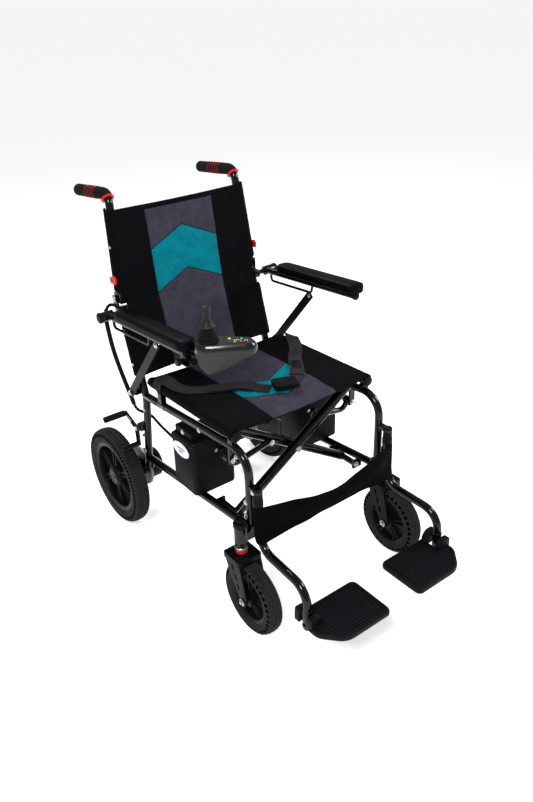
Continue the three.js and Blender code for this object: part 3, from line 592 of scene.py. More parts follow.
def make_cable():
    """The cord from the pod to the battery, the wider hose round its hanging part, and its two ends."""
    line = smooth_line(CABLE_ROUTE, spacing=1.0)
    skin = tube(line, lambda s: CABLE_R - 0.45 + 0.45 * math.cos(s * TURN / 4), sides=12)
    cable = piece("joystick_cable_sleeve", *skin, RUBBER, None, "rubber", ("joystick_cable",), sharp=80)
    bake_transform(cable)
    hanging = [p for p in line if p.y > 291.5 and 408 < p.z < 700]
    run = len(hanging) - 1
    skin = tube(hanging, lambda s: 5 + (1.25 + 0.35 * math.cos(s * TURN / 5)) * min(1, s / 6, (run - s) / 6))
    sleeve = piece("cable_hose", *skin, RUBBER, None, "rubber", sharp=80)
    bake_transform(sleeve)
    boot = [Vector(p) for p in ((-239, -82, 723.6), (-240.5, -64, 722.5), (-242, -50, 721.5))]
    piece("cable_exit_boot", *tube(boot, lambda s: 7.5 - 0.06 * s, sides=16), RUBBER, "right_armrest",
          "rubber")
    gland = lathe([(-3, 9), (2, 9), (3, 7.5), (12, 6.6), (13, 4.6)], CABLE_ROUTE[-1], "Y", 20)
    piece("cable_battery_gland", *gland, RUBBER, "right_frame", "rubber")


make_cable()


# ---- frame, braces and links --------------------------------------------------------------
POST_X = 218
BRACE_Y = {"right": -134, "left": -107}
PIVOT_X, PIVOT_Z = 197, 261
RAIL_X, RAIL_Z = 217, 526
SEAT_SLOPE = 0.03
CASTER_X, STEM_Y = 249, -224


def make_frames():
    """Side frames, cross braces and the links between them, with their bolts."""
    for side, sign in SIDES:
        rounded(f"{side}_side_frame", ENAMEL)
        rounded(f"{side}_stabiliser_link", ENAMEL)
        rail_cap(side)
        frame_hardware(side, sign)
    cross_brace("cross_brace_a", BRACE_Y["right"], 1)
    cross_brace("cross_brace_b", BRACE_Y["left"], -1)
    rounded("cross_brace_bolt", STEEL, width=0.7)


def cross_brace(node, y, sign):
    """One leg of the X: an oval tube from one side frame's pivot tube to the other side's seat rail."""
    foot, head = Vector((-PIVOT_X * sign, 0, PIVOT_Z)), Vector((RAIL_X * sign, 0, RAIL_Z))
    plane = Vector((0, y, 0))
    way = (head - foot).normalized()
    side = Vector((-way.z, 0, way.x))
    reach = (head - foot).length

    def oval(a):
        """The way from the middle of the tube to its wall, flattened towards a square."""
        c, w = (math.copysign(abs(v) ** 0.7, v) for v in (math.cos(a), math.sin(a)))
        return side * 12.2 * c + Vector((0, 12.2, 0)) * w

    leg = loft([ring_of(32, lambda a: foot + way * s + plane + oval(a))
                for s in (2, 30, reach * 0.5, reach - 30, reach - 2)])
    pivot = lathe([(-159.5, 5.4), (-159.5, 8.4), (-158.9, 9), (-70.1, 9), (-69.5, 8.4), (-69.5, 5.4)],
                  (foot.x, 0, PIVOT_Z), "Y", 36, closed=True)
    rail = tube([Vector((head.x, v, RAIL_Z - SEAT_SLOPE * (v + 176))) for v in (-176, 222)], 12, sides=36)
    seams = [tube([at + way * d for d in (-2.5, 0, 2.5)], lambda s: 12.6 + 1.4 * (abs(s - 2.5) < 1), sides=24)
             for at in (foot + plane + way * 12, head + plane - way * 15)]
    piece(f"{node}_tubes", *parts(leg, pivot, rail, *seams), ENAMEL, BODY[node], "frame", (node,), sharp=40)


def rail_cap(side):
    """The round plastic cap on the front end of a seat rail."""
    node = f"{side}_rail_cap"
    low, high = box(node)
    r = (high.x - low.x) / 2
    profile = [(high.y, r * 0.92), (high.y - 1.5, r), (low.y + 4, r), (low.y + 1.5, r * 0.9),
               (low.y + 0.3, r * 0.6),
               (low.y, r * 0.25)]
    cap = lathe(profile, ((low.x + high.x) / 2, 0, (low.z + high.z) / 2), "Y", 40)
    piece(f"{node}_finished", *cap, PLASTIC, BODY[node], "plastic", (node,))


def frame_hardware(side, sign):
    """Bolts, nuts and tube plugs that show on the side frame."""
    body, x, wall = f"{side}_frame", sign * POST_X, sign * (POST_X + 10.5)
    heads = [bolt((wall, y, z), "X", sign, 5, 3.5) for y, z in
             ((-223, 322), (-223, 362), (262, 412), (283, 262), (150, 461), (-30, 478))]
    steel(f"{side}_frame_bolts", body, *heads,
          *(hex_nut((wall, y, z), "X", sign, 5.5, 4) for y, z in ((276, 320), (-196, 482))))
    cap = lathe([(405.8, 0.5), (405.8, 12), (407, 13), (415, 13), (417.5, 11.5), (418.4, 8), (418.6, 0.5)],
                (sign * 219, -260, 0), "Z", 40)
    piece(f"{side}_hanger_lug_cap", *cap, ENAMEL, body, "frame")
    steel(f"{side}_hanger_lug_bolt", body, bolt((sign * 231.5, -257, 411), "X", sign, 4.5, 3.5))
    plugs = [lathe([(0, 10.2), (2.5, 10.2), (4, 8), (4.4, 4)], (x, y, z), "Y", 24) for y,
             z in ((258, 454), (288, 234))]
    piece(f"{side}_frame_plugs", *parts(*plugs), PLASTIC, body, "plastic")
    barrel = (sign * CASTER_X, STEM_Y, 0)
    collar = lathe([(242, 17.6), (246, 19), (256, 19), (258, 17.6)], barrel, "Z", 6)
    cap = lathe([(300, 17.4), (302, 18.6), (311, 18.6), (313.5, 17)], barrel, "Z", 32)
    piece(f"{side}_barrel_collars", *parts(collar, cap), PLASTIC, body, "plastic")


make_frames()


# ---- upholstery ---------------------------------------------------------------------------
def sheet_mesh(name, surface, across, along, thickness, material, body, stands_for=(), lining=None):
    """A closed cloth from surface(u, v) -> (point, (cut x, cut y)), u and v from 0 to 1. The lining is
    another material and the way that its side faces."""
    points, flat = [], []
    for j in range(along + 1):
        for i in range(across + 1):
            point, cut = surface(i / across, j / along)
            points.append(point)
            flat.append(cut)
    row = across + 1
    data = mesh(name, points, [(j * row + i, j * row + i + 1, (j + 1) * row + i + 1, (j + 1) * row + i)
                               for j in range(along) for i in range(across)])
    layer = data.uv_layers.new(name="cloth")
    for loop in data.loops:
        layer.data[loop.index].uv = [c * MM for c in flat[loop.vertex_index]]
    obj = dressed(name, data, material, body, stands_for, sharp=70)
    solid = obj.modifiers.new("thickness", "SOLIDIFY")
    solid.thickness, solid.offset = thickness * MM, 0
    applied(obj)
    if lining:
        obj.data.materials.append(lining[0])
        hidden = Vector(lining[1])
        for face in obj.data.polygons:
            face.material_index = int(face.normal.dot(hidden) > 0.25)
    return obj


def groove(distance, width=2.2):
    """1 on a seam, falling to 0 beside it."""
    return math.exp(-(distance / width) ** 2)


def cloth_relief(x, y, chevron, seed):
    """How far padded cloth stands up at a point of its cut: quilted middle, stitched seams, small creases."""
    inside = 1 / (1 + math.exp((abs(x) - chevron["half"]) / 3))
    seams = [groove(y - (chevron[edge] - chevron["slope"] * abs(x))) for edge in ("top", "bottom")]
    stitched = groove(abs(x) - chevron["half"]) + inside * sum(seams)
    crease = noise.noise(Vector((x * 0.021, y * 0.013, seed))) * 1.6
    for pitch, height in ((0.045, 0.9), (0.09, 0.55)):
        ridge = 1 - abs(noise.noise(Vector((x * pitch, y * pitch * 0.7, seed + 10 * pitch))))
        crease -= inside * height * 2 * max(0, ridge - 0.8) / 0.2
    return 4.5 * inside + crease - 2.8 * min(1, stitched)


def along_cane(z):
    """(x of the cane's middle, its y) at a height, for the rear post below and the folding cane above."""
    if z > 712:
        t = (z - 716) / (997 - 716)
        return 217 - 17 * t, 336 + 40 * t
    t = max(0, (z - 448) / (705 - 448))
    return 218, 258 + 75 * t


CANE_WRAP = 16.8


def wrap_share(z):
    """How far the cloth goes round the canes: all the way, except beside the hinge and the arm pivot."""
    return min(1, max(0, (668 - z) / 8, (z - 743) / 6))


def back_panel(name, body, bottom, top, node, rows, tongue=0):
    """One panel of the sling back: sleeved round both canes and slack between them."""

    def surface(u, v):
        """A place on the cloth and on its cut."""
        z = bottom + (top - bottom) * v
        half, y = along_cane(z)
        share = wrap_share(z)
        s = (2 * u - 1) * (half + 46)
        hem = math.exp(-((z - 956) / 6) ** 2) + math.exp(-((z - 518) / 5) ** 2)
        tuck = 7 * max(0, (z - top + tongue) / tongue) if tongue else 0
        straight = half - 5 * (1 - share)
        if abs(s) <= half:
            x = s * straight / half
            slack = 1 - (s / half) ** 2
            lift = cloth_relief(x, z, BACK_CHEVRON,
                                1.0) * (1 - 0.8 * min(1, hem)) * (0.3 + 0.7 * min(1, 3 * slack))
            dip = 9 * slack * math.exp(-((z - 962) / 50) ** 2) * (z > 900)
            return (x, y - CANE_WRAP + 14 * slack ** 0.8 - lift + tuck - 2.5 * hem * slack,
                    z - dip * 0.6), (x, z)
        angle = (abs(s) - half) / CANE_WRAP * share
        reach = CANE_WRAP + 0.5 * noise.noise(Vector((s * 0.06, z * 0.04, 5))) * share
        x = math.copysign(straight + reach * math.sin(angle), s)
        return (x, y - reach * math.cos(angle) + tuck, z), (s, z)

    cloth = sheet_mesh(name, surface, 150, rows, 3, BACK_CLOTH, body, (node,),
                       (BLACK_CLOTH, (0, 1, 0)))
    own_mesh(cloth)


def make_back():
    """The two panels of the back and the screws that hold them to the canes."""
    back_panel("back_cloth_upper", "right_back", 713, 960, "back_sling_upper", 90)
    back_panel("back_cloth_lower", "right_frame", 516, 722, "back_sling_lower", 76, tongue=10)
    for side, sign in SIDES:
        for part, body, heights in (("lower", "frame", (548, 640)), ("upper", "back", (864,))):
            steel(f"{side}_cloth_screws_{part}", f"{side}_{body}",
                  *(bolt((sign * (along_cane(z)[0] + CANE_WRAP), along_cane(z)[1] - 3, z), "X", sign, 3.6,
                         2.5)
                    for z in heights))


SEAT_BASE = box("seat_sling")[1].z - 5.5
SEAT_FRONT = box("seat_sling")[0].y


def seat_sag(share, y):
    """How far the seat cloth hangs below its rails; share falls from 1 at the middle to 0 at a rail."""
    return share * (5 + 7 * math.exp(-((y - SEAT_FRONT) / 60) ** 2))


def seat_lift(x, y, share):
    """How far the padding stands up from the seat cloth."""
    return cloth_relief(x, y, SEAT_CHEVRON, 4.0) * (0.4 + 0.6 * min(1, 3 * share))


def make_seat():
    """The sling seat, sleeved over both rails."""
    low, high = box("seat_sling")
    span, flat_half, wrap = 243, RAIL_X - 2, 14.5

    def surface(u, v):
        """A place on the cloth and on its cut."""
        y = low.y + (high.y - low.y) * v
        s = (2 * u - 1) * span
        z = SEAT_BASE - SEAT_SLOPE * (y - low.y)
        if abs(s) <= flat_half:
            share = 1 - (s / flat_half) ** 2
            hem = math.exp(-((y - low.y) / 6) ** 2) + math.exp(-((high.y - y) / 6) ** 2)
            return (s, y, z - seat_sag(share, y) + seat_lift(s, y, share) * (1 - hem) - 3 * hem), (s, y)
        angle = (abs(s) - flat_half) / wrap
        return (math.copysign(flat_half + wrap * math.sin(angle), s), y,
                z - wrap * (1 - math.cos(angle))), (s, y)

    seat = sheet_mesh("seat_cloth", surface, 118, 96, 7, SEAT_CLOTH, None, ("seat_sling",),
                      (BLACK_CLOTH, (0, 0, -1)))
    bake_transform(seat)


make_back()
make_seat()


# ---- wheels -------------------------------------------------------------------------------
def round_axle(sign, centre, out, r, angle):
    """A point at a distance outward from the middle of a wheel, at a radius and an angle from straight up."""
    return (centre[0] + sign * out, centre[1] + r * math.sin(angle), centre[2] + r * math.cos(angle))


def turned(sign, centre, profile, sides=64, closed=False):
    """A turned shape on a wheel's axle: the profile is (distance outward from its middle, radius) pairs."""
    return lathe([(sign * out, r) for out, r in profile], centre, "X", sides, closed)


def bump_at(distance, width):
    """1 at the middle, falling smoothly to 0 at a distance of width."""
    t = min(1, abs(distance) / width)
    return (1 - t * t) ** 2


TYRE_WALL = [(0.34, 0.985), (0.68, 0.93), (0.91, 0.81), (1, 0.6), (1.02, 0.38), (1, 0.18), (0.9, 0)]
PIT_HEIGHT = 0.6
CUT_STEPS = 6


def solid_tyre(node, sign, centre, width, bore, blocks, pits, pit):
    """A puncture-proof tyre: staggered tread blocks, a ring groove and a row of pits in each wall, whose
    insides are painted near-black as shade.
    """
    half, depth = width / 2, centre[2] - bore
    corners = [(-w, d) for w, d in reversed(TYRE_WALL)] + [(0, 1)] + TYRE_WALL
    line = smooth_line([(w * half, bore + depth * d, 0) for w, d in corners], spacing=2.0)
    count = blocks * CUT_STEPS
    points = []
    for i in range(count):
        for k, (w, r, _) in enumerate(line):
            before, after = line[max(0, k - 1)], line[min(len(line) - 1, k + 1)]
            way = Vector((after.x - before.x, after.y - before.y)).normalized()
            out = Vector((-way.y, way.x))
            if r - bore > 0.7 * depth and abs(w) < 0.86 * half:
                sunk = tread_cut(w / half, i / CUT_STEPS)
            else:
                sunk = wall_pit(r - bore - PIT_HEIGHT * depth, i * pits / count, TURN * r / pits, *pit)
            points.append(round_axle(sign, centre, w - out.x * sunk, r - out.y * sunk, TURN * i / count))
    tyre = piece(f"{node}_moulded", points, rings_to_faces(len(line), count, closed=True), TYRE, BODY[node],
                 SLOT[node],
                 (node,), sharp=50)
    # The faces sunk into the wall pits take the near-black material: painted shade in the recesses.
    tyre.data.materials.append(PIT_SHADE)
    for face in tyre.data.polygons:
        at = face.center / MM
        up = (math.hypot(at.y - centre[1], at.z - centre[2]) - bore) / depth
        wall = half * np.interp(up, (0.38, 0.6, 0.81), (1.02, 1, 0.91))
        face.material_index = int(0.42 < up < 0.8 and abs(at.x - centre[0]) < wall - 0.8)


def tread_cut(across, block):
    """The tread's grooves: two rings, and slots that are staggered from one side to the other."""
    ring = max(bump_at(abs(across) - 0.2, 0.08), bump_at(abs(across) - 0.56, 0.06))
    away = abs((block + (0 if across > 0 else 0.5) + 0.5) % 1 - 0.5)
    slot = bump_at(away, 0.3) if abs(across) > 0.26 else 0
    return 2.6 * max(ring, slot)


def wall_pit(up, turn, pitch, wide, tall, deep):
    """The moulded pits round the tyre's wall, each an oval."""
    away = abs((turn + 0.5) % 1 - 0.5) * pitch
    far = math.hypot(away / wide, up / tall)
    return deep * min(1, max(0, 4 * (1.1 - far)))


def rib(sign, centre, angle, offsets, half, reach, low, high):
    """A straight rib of a spoke, from one radius to another, between the faces low and high."""
    rings = []
    for offset, r, b in zip(offsets, reach, high):
        ring = []
        for out, side in ((low, -half), (low, half), (b - 0.8, half), (b, half * 0.5), (b, -half * 0.5),
                          (b - 0.8, -half)):
            x, y, z = round_axle(sign, centre, out, r, angle)
            ring.append((x, y + math.cos(angle) * (offset + side), z - math.sin(angle) * (offset + side)))
        rings.append(ring)
    return loft(rings)


def spoked_rim(node, body, sign, centre, spokes, hub, shoulder, lip, face, splay, back, extra=()):
    """A moulded wheel: a stepped lip, and spokes of two thin ribs with a web between them."""
    profile = [(face, lip), (face, lip - 5), (face - 3, shoulder + 3), (8, shoulder), (-2, shoulder),
               (-6, shoulder + 2), (3 - face, shoulder + 4), (-face, lip - 5), (-face, lip)]
    shapes = [turned(sign, centre, profile, 96, closed=True)]
    for k in range(spokes):
        angle = TURN * k / spokes
        for way in (-1, 1):
            shapes.append(rib(sign, centre, angle, (way * splay[0], way * splay[1]), 1.6,
                              (hub - 4, shoulder + 1.5),
                              -back, (10, 8.5)))
        shapes.append(rib(sign, centre, angle, (0, 0), splay[0] + 0.5, (hub - 4, shoulder + 1), -1, (4, 4)))
    piece(f"{node}_moulded", *parts(*shapes, *extra), WHEEL_PLASTIC, body, SLOT[node], (node,), sharp=30)


WHEEL_HUB = [(21.5, 0.5), (21.5, 7), (20.6, 8), (20.6, 14), (21, 15), (20.4, 21), (18, 27.5), (13.5, 31.8),
             (9, 33.2),
             (-14, 33.2), (-18, 30), (-18, 8), (-90, 8), (-90, 0.5)]
CASTER_HUB = [(22, 6.6), (22, 12), (20.5, 13), (20.5, 17), (21.5, 18), (20.5, 20), (-20.5, 20), (-22, 18),
              (-22, 6.6)]


def make_wheels():
    """Rear wheels with their motors, and casters with their forks. A disc closes each rim."""
    for side, sign in SIDES:
        centre = middle(f"{side}_wheel_tyre")
        solid_tyre(f"{side}_wheel_tyre", sign, centre, 48, 112.3, 110, 80, (3.7, 5.4, 6))
        disc = turned(sign, centre, [(-8, 30), (-8, 98), (-5.5, 98), (-5.5, 30)], 72, closed=True)
        studs = [lathe([(sign * 16, 2.6), (sign * 20.2, 2.6), (sign * 20.6, 1.6), (sign * 20.6, 0.4)],
                       round_axle(sign, centre, 0, 24.5, TURN * (k + 0.5) / 6), "X", 10) for k in range(6)]
        spoked_rim(f"{side}_wheel_rim", f"{side}_wheel", sign, centre, 6, 33, 97, 112, 20, (5.5, 10), 6,
                   (turned(sign, centre, WHEEL_HUB), disc, *studs))
        make_motor(side, sign, centre)

        centre = middle(f"{side}_caster_tyre")
        solid_tyre(f"{side}_caster_tyre", sign, centre, 42, 70.3, 84, 34, (5.2, 4.6, 6))
        disc = turned(sign, centre, [(-3, 18), (-3, 58), (-1, 58), (-1, 18)], 64, closed=True)
        spoked_rim(f"{side}_caster_rim", f"{side}_caster", sign, centre, 5, 20, 57, 70, 17, (4.5, 8), 14,
                   (turned(sign, centre, CASTER_HUB, closed=True), disc))
        make_fork(side, sign, centre)


def make_motor(side, sign, centre):
    """A hub motor: a cast flange against the frame's plate, and a ribbed plastic shell."""
    at, body, plate = (0, centre[1], centre[2]), f"{side}_frame", sign * 205.7
    flange = [(0, 9), (0, 60.5), (1.5, 62), (8.5, 62), (10, 60.5), (10, 52), (14, 49.5), (14, 9)]
    piece(f"{side}_motor_flange",
          *lathe([(plate - sign * d, r) for d, r in flange], at, "X", 72, closed=True), CAST,
          body, "motor", (f"{side}_motor",))
    steel(f"{side}_motor_flange_bolts", body,
          *(bolt((plate - sign * 8.5, at[1] + 56 * math.sin(a), at[2] + 56 * math.cos(a)), "X", -sign, 3.6,
                 3.2)
            for a in (math.pi / 4 + k * math.pi / 2 for k in range(4))))
    shell = [(14, 0.5), (14, 48)]
    for k in range(3):
        shell += [(18 + 9 * k, 48), (19.5 + 9 * k, 46.2), (23.5 + 9 * k, 46.2), (25 + 9 * k, 48)]
    shell += [(47, 48), (50, 46.5), (55.5, 41.5), (57.3, 38.5), (57.6, 30), (57.6, 12), (56.6, 11),
              (56.6, 0.5)]
    piece(f"{side}_motor_shell", *lathe([(plate - sign * d, r) for d, r in shell], at, "X", 64), PLASTIC,
          body,
          "plastic")


def make_fork(side, sign, centre):
    """A caster fork with its two red rings and steel ring round the stem, and the axle's bolts."""
    body, stem = f"{side}_fork", (sign * CASTER_X, STEM_Y, 0)
    rounded(f"{side}_caster_fork", PLASTIC, width=1.2, segments=3,
            corner=lambda x, y: abs(abs(x) - CASTER_X) > 35 and (abs(y + 262) < 2 or abs(y + 192) < 2))
    red = [lathe([(z, 13.1), (z, 14.4), (z + 0.7, 15), (z + 3.2, 15), (z + 3.9, 14.4), (z + 3.9, 13.1)], stem,
                 "Z",
                 36, closed=True) for z in (222.6, 227.6)]
    piece(f"{side}_stem_red_rings", *parts(*red), RED, body, "red")
    ring = [(232.2, 13.1), (232.2, 15.8), (233.4, 16.8), (239.6, 16.8), (240.8, 15.8), (240.8, 13.1)]
    steel(f"{side}_stem_steel_ring", body, lathe(ring, stem, "Z", 36, closed=True))
    steel(f"{side}_axle_bolts", body,
          *(bolt((centre[0] + way * 36, centre[1], centre[2]), "X", way, 7, 5) for way in (-1, 1)))


make_wheels()


# ---- belts and calf strap -----------------------------------------------------------------
def ribbon(name, path, ups, width, thick, stands_for, floor, across=10, crown=0.6):
    """A flat strap of webbing along a path; ups are the ways its upper face looks at each path point, and it
    stays above floor(x, y)."""
    path = [Vector(p) for p in path]
    line = smooth_line(path, spacing=3.0)
    marks = distances(path)
    rings, total = [], len(line) - 1
    for k, point in enumerate(line):
        t = marks[-1] * k / total
        up = Vector([np.interp(t, marks, [u[axis] for u in ups]) for axis in range(3)])
        way = (line[min(total, k + 1)] - line[max(0, k - 1)]).normalized()
        up = (up - way * up.dot(way)).normalized()
        side = way.cross(up)
        top = []
        for i in range(across + 1):
            s = 2 * i / across - 1
            rise = crown * (1 - s * s) + 0.35 * math.sin(k * 0.19 + s * 1.4)
            p = point + side * (s * width / 2) + up * rise
            p.z = max(p.z, floor(p.x, p.y) + thick)
            top.append((p, up))
        rings.append([p + u * thick / 2 for p, u in top] + [p - u * thick / 2 for p, u in reversed(top)])
    return piece(name, *loft(rings), WEBBING, None, "webbing", stands_for, sharp=60)


def seat_top(x, y):
    """The height of the seat cloth's upper face."""
    if abs(x) > 213:
        return -1000
    share = 1 - (x / (RAIL_X - 2)) ** 2
    return SEAT_BASE - SEAT_SLOPE * (y - SEAT_FRONT) - seat_sag(share, y) + seat_lift(x, y, share) + 3.5


def turned_on(at, angle, shape):
    """A flat-lying shape turned by an angle and moved to a place."""
    c, s = math.cos(angle), math.sin(angle)
    points, faces = shape
    return [(at[0] + x * c - y * s, at[1] + x * s + y * c, at[2] + z) for x, y, z in points], faces


def slider(name, at, angle, size, body):
    """A ladder-lock slider: a frame with a bar, lying on a belt."""
    w, d = size
    bars = [((-w, -d), (w, -d + 5)), ((-w, d - 5), (w, d)), ((-w, -d + 5), (-w + 4, d - 5)),
            ((w - 4, -d + 5), (w, d - 5)), ((-w + 4, -2.5), (w - 4, 2.5))]
    shapes = [turned_on(at, angle, brick((*low, 0), (*high, 4.2))) for low, high in bars]
    bevelled(piece(name, *parts(*shapes), PLASTIC, body, "plastic"), 0.9)


# Each half of the belt: where it lies on the seat, where its spare end lies, and the cut lengths of both.
BELTS = {
    "right": ([(-205, 112), (-192, 70), (-160, 46), (-120, 22), (-84, -4), (-52, -38), (-28, -70)],
              [(-150, 41), (-118, 22), (-84, -3), (-52, -37)], 0.372, 0.127),
    "left": ([(204, 112), (178, 74), (140, 34), (116, -2), (92, -38), (66, -62), (46, -76)],
             [(150, 44), (124, 10), (100, -26), (72, -56)], 0.362, 0.130),
}
BELT_WIDTH, BELT_THICK = 38, 1.8


def make_belts():
    """The lap belt: two halves with their spare ends, a buckle and a slider."""
    up = (0, 0, 1)

    def laid(points, gap):
        """Places (x, y) on the seat, a gap above the cloth."""
        return [(x, y, seat_top(x, y) + gap) for x, y in points]

    for side, sign in SIDES:
        lies, spare, cut, spare_cut = BELTS[side]
        rise = [(231.5, 168, 512), (232, 163, 528), (224, 154, 545), (213, 134, 549)]
        ups = [(sign, 0, 0), (sign, 0, 0.2), (sign * 0.5, 0, 0.8), (sign * 0.15, 0, 1)] + [up] * len(lies)
        belt = ribbon(f"{side}_belt_webbing", [(sign * x, y, z) for x, y, z in rise] + laid(lies, 2.6), ups,
                      BELT_WIDTH, BELT_THICK, (f"{side}_lap_belt",), seat_top)
        end = ribbon(f"{side}_belt_return", laid(spare, 5.6), [up] * 4, BELT_WIDTH, BELT_THICK, (),
                     lambda x, y: seat_top(x, y) + 2.6)
        for strap, length in ((belt, cut), (end, spare_cut)):
            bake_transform(strap)
    buckle()
    slider("left_belt_slider", (112, -8, seat_top(112, -8) + 6), math.radians(57), (24, 12), "brace_a")


def buckle():
    """A side-release buckle between the two halves of the belt: a hollow body and a two-pronged tongue."""
    centre = middle("belt_buckle")

    def slab(outline, z0, z1):
        """A block with softened faces between two heights."""
        inset = [(x * 0.96, y * 0.93) for x, y in outline]
        skin = loft([[(x, y, z) for x, y in ring] for ring, z in
                     ((inset, z0), (outline, z0 + 1.5), (outline, z1 - 1.5), (inset, z1))])
        return turned_on(centre, math.radians(-20), skin)

    body = [(-31, -23), (-8, -25), (12, -24), (14, -20), (14, -9), (9, -7), (9, 7), (14, 9), (14, 20),
            (12, 24),
            (-8, 25), (-31, 23), (-33, 18), (-33, -18)]
    tongue = [(10, -21), (17, -24), (31, -24), (34, -20), (34, 20), (31, 24), (17, 24), (10, 21)]
    button = [(-24, -9), (2, -7), (2, 7), (-24, 9)]
    shapes = parts(slab(body, -6, 6.5), slab(tongue, -5, 5), slab(button, 5.5, 7.6))
    bevelled(piece("belt_buckle_moulded", *shapes, PLASTIC, BODY["belt_buckle"], "plastic", ("belt_buckle",),
                   sharp=30),
             0.8)


def hanger_line(z):
    """Where the hanger tube's middle is in y at a height."""
    if z >= 292:
        return -260 - 5 * (405 - z) / 162
    return -317 + math.sqrt(max(0, 53 ** 2 - (292 - z) ** 2))


def calf_strap(side, sign):
    """Half of the band behind the rider's calves, from round its hanger tube down to the middle."""
    wrapped, r = 0.2, 12.9

    def surface(u, v):
        """A place on the cloth and on its cut."""
        t = max(0, (u - wrapped) / (1 - wrapped))
        low, high = 266 + 36 * t ** 0.8, 371 - 21 * t ** 0.8
        z = low + (high - low) * v
        sag = -12 * math.sin(math.pi * min(1, t) * 0.5) ** 2
        tube_y = hanger_line(z)
        if u < wrapped:
            angle = math.radians(205 * (1 - u / wrapped))
            x, y = 219 + r * math.sin(angle), tube_y - r * math.cos(angle)
        else:
            x = 219 - 231 * t
            y = (tube_y - r) * (1 - t) - 296 * t - 5 * math.sin(math.pi * t) + sign * 1.7 * t ** 6
        wave = 5 * noise.noise(Vector((u * 4, v * 1.6, 8 + sign))) + 2.6 * math.sin(v * 9 + u * 6)
        wave *= min(1, 5 * t) * min(1, 0.15 + 4 * (1 - t))
        hem = 0.8 * (groove(v - 0.05, 0.015) + groove(v - 0.95, 0.015))
        return (sign * x, y - wave + hem, z + sag), (x, z)

    strap = sheet_mesh(f"{side}_calf_cloth", surface, 110, 34, 2.6, CALF_CLOTH, f"{side}_legrest",
                       (f"{side}_calf_strap",))
    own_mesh(strap)


make_belts()
for side, sign in SIDES:
    calf_strap(side, sign)


# ---- back canes, grips and latches --------------------------------------------------------
def rounded_ends(s, length, near, far):
    """0 at both ends of a grip, rising to 1 within near and far millimetres of them."""
    return math.sqrt(max(0, 1 - max(0, 1 - s / near, 1 - (length - s) / far) ** 2))


def make_canes():
    """The folding canes of the back with their latches, hinge bolts and foam grips with red stripes."""
    for side, sign in SIDES:
        body = f"{side}_back"
        rounded(f"{side}_back_cane", ENAMEL)
        rounded(f"{side}_back_latch", RED, width=1.6, segments=3)
        route = [(sign * 201.9, 371.6, 965.5), (sign * 200, 376, 997), (sign * 201, 554.2, 977)]
        line = even(bent(route, 30, step=4), 1.0)[20:]
        length = len(line) - 1

        def radius(s):
            """The grip's radius at a distance along it."""
            ribbed = 0.6 * math.cos(TURN * (s - 60) / 13) if 55 < s < 130 else 0
            return 12.3 + (3.7 + ribbed) * rounded_ends(s, length, 3, 5)

        piece(f"{side}_grip_foam", *tube(line, radius, sides=36), FOAM, body, "foam", (f"{side}_push_grip",),
              sharp=70)
        stripes = []
        for k, wide, reach in [(2, 2, 18)] + [(60 + 13 * k, 1, 16.9) for k in range(5)]:
            near = [line[k - wide], line[k], line[k + wide]]
            stripes.append(tube(near, lambda s: reach - (0.5 if abs(s - wide) > 0.5 else 0), sides=36))
        piece(f"{side}_grip_stripes", *parts(*stripes), RED, body, "red")
        steel(f"{side}_hinge_bolts", f"{side}_frame", bolt((sign * 234.3, 348, 722), "X", sign, 6, 4),
              bolt((sign * 204.5, 348, 722), "X", -sign, 5, 3),
              bolt((sign * 228.4, 326, 690), "X", sign, 4.5, 3))


make_canes()


# ---- armrests -----------------------------------------------------------------------------
ARM_X = 268
ARM_PIVOT = (320, 693)
ARM_RISE = 31 / 392


def arm_height(y):
    """The height of the armrest tube's middle."""
    return ARM_PIVOT[1] + (ARM_PIVOT[0] - y) * ARM_RISE


def arm_pad(side, sign):
    """A moulded foam pad: flat below, crowned above, with a seam round its lower edge."""
    low, high = box(f"{side}_arm_pad")
    front, length = low.y + 1, high.y - low.y - 2
    half, tall = 26, 26
    stations = [0, 1, 3, 6, 10, 15, 22, *range(34, 320, 12), 316, 323, 328, 332, 335, 337, 338]
    rings = []
    for s in [v * length / 338 for v in stations]:
        end = max(0, 1 - s / 22, 1 - (length - s) / 22)
        shrink = math.sqrt(max(0.0, 1 - (end * 0.93) ** 2.6))

        def wall(a):
            """A place on the shell's outline at an angle."""
            c, w = math.cos(a), math.sin(a)
            across = half * math.copysign(abs(c) ** 0.5, c) * shrink
            up = tall / 2 * math.copysign(abs(w) ** (0.62 if w > 0 else 0.3), w)
            if w > 0:
                across *= 1 - 0.1 * w * w
                up = up * (0.62 + 0.38 * shrink) + 0.9 * (1 - c * c) * (1 - end)
            across *= 1 - 0.05 * bump_at(up + 6.5, 1.7)
            return sign * ARM_X + across, front + s, arm_height(front + s) + 9.7 + tall / 2 + up

        rings.append(ring_of(40, wall))
    pad = piece(f"{side}_arm_pad_moulded", *loft(rings), PAD, BODY[f"{side}_arm_pad"], "plastic",
                (f"{side}_arm_pad",), sharp=60)


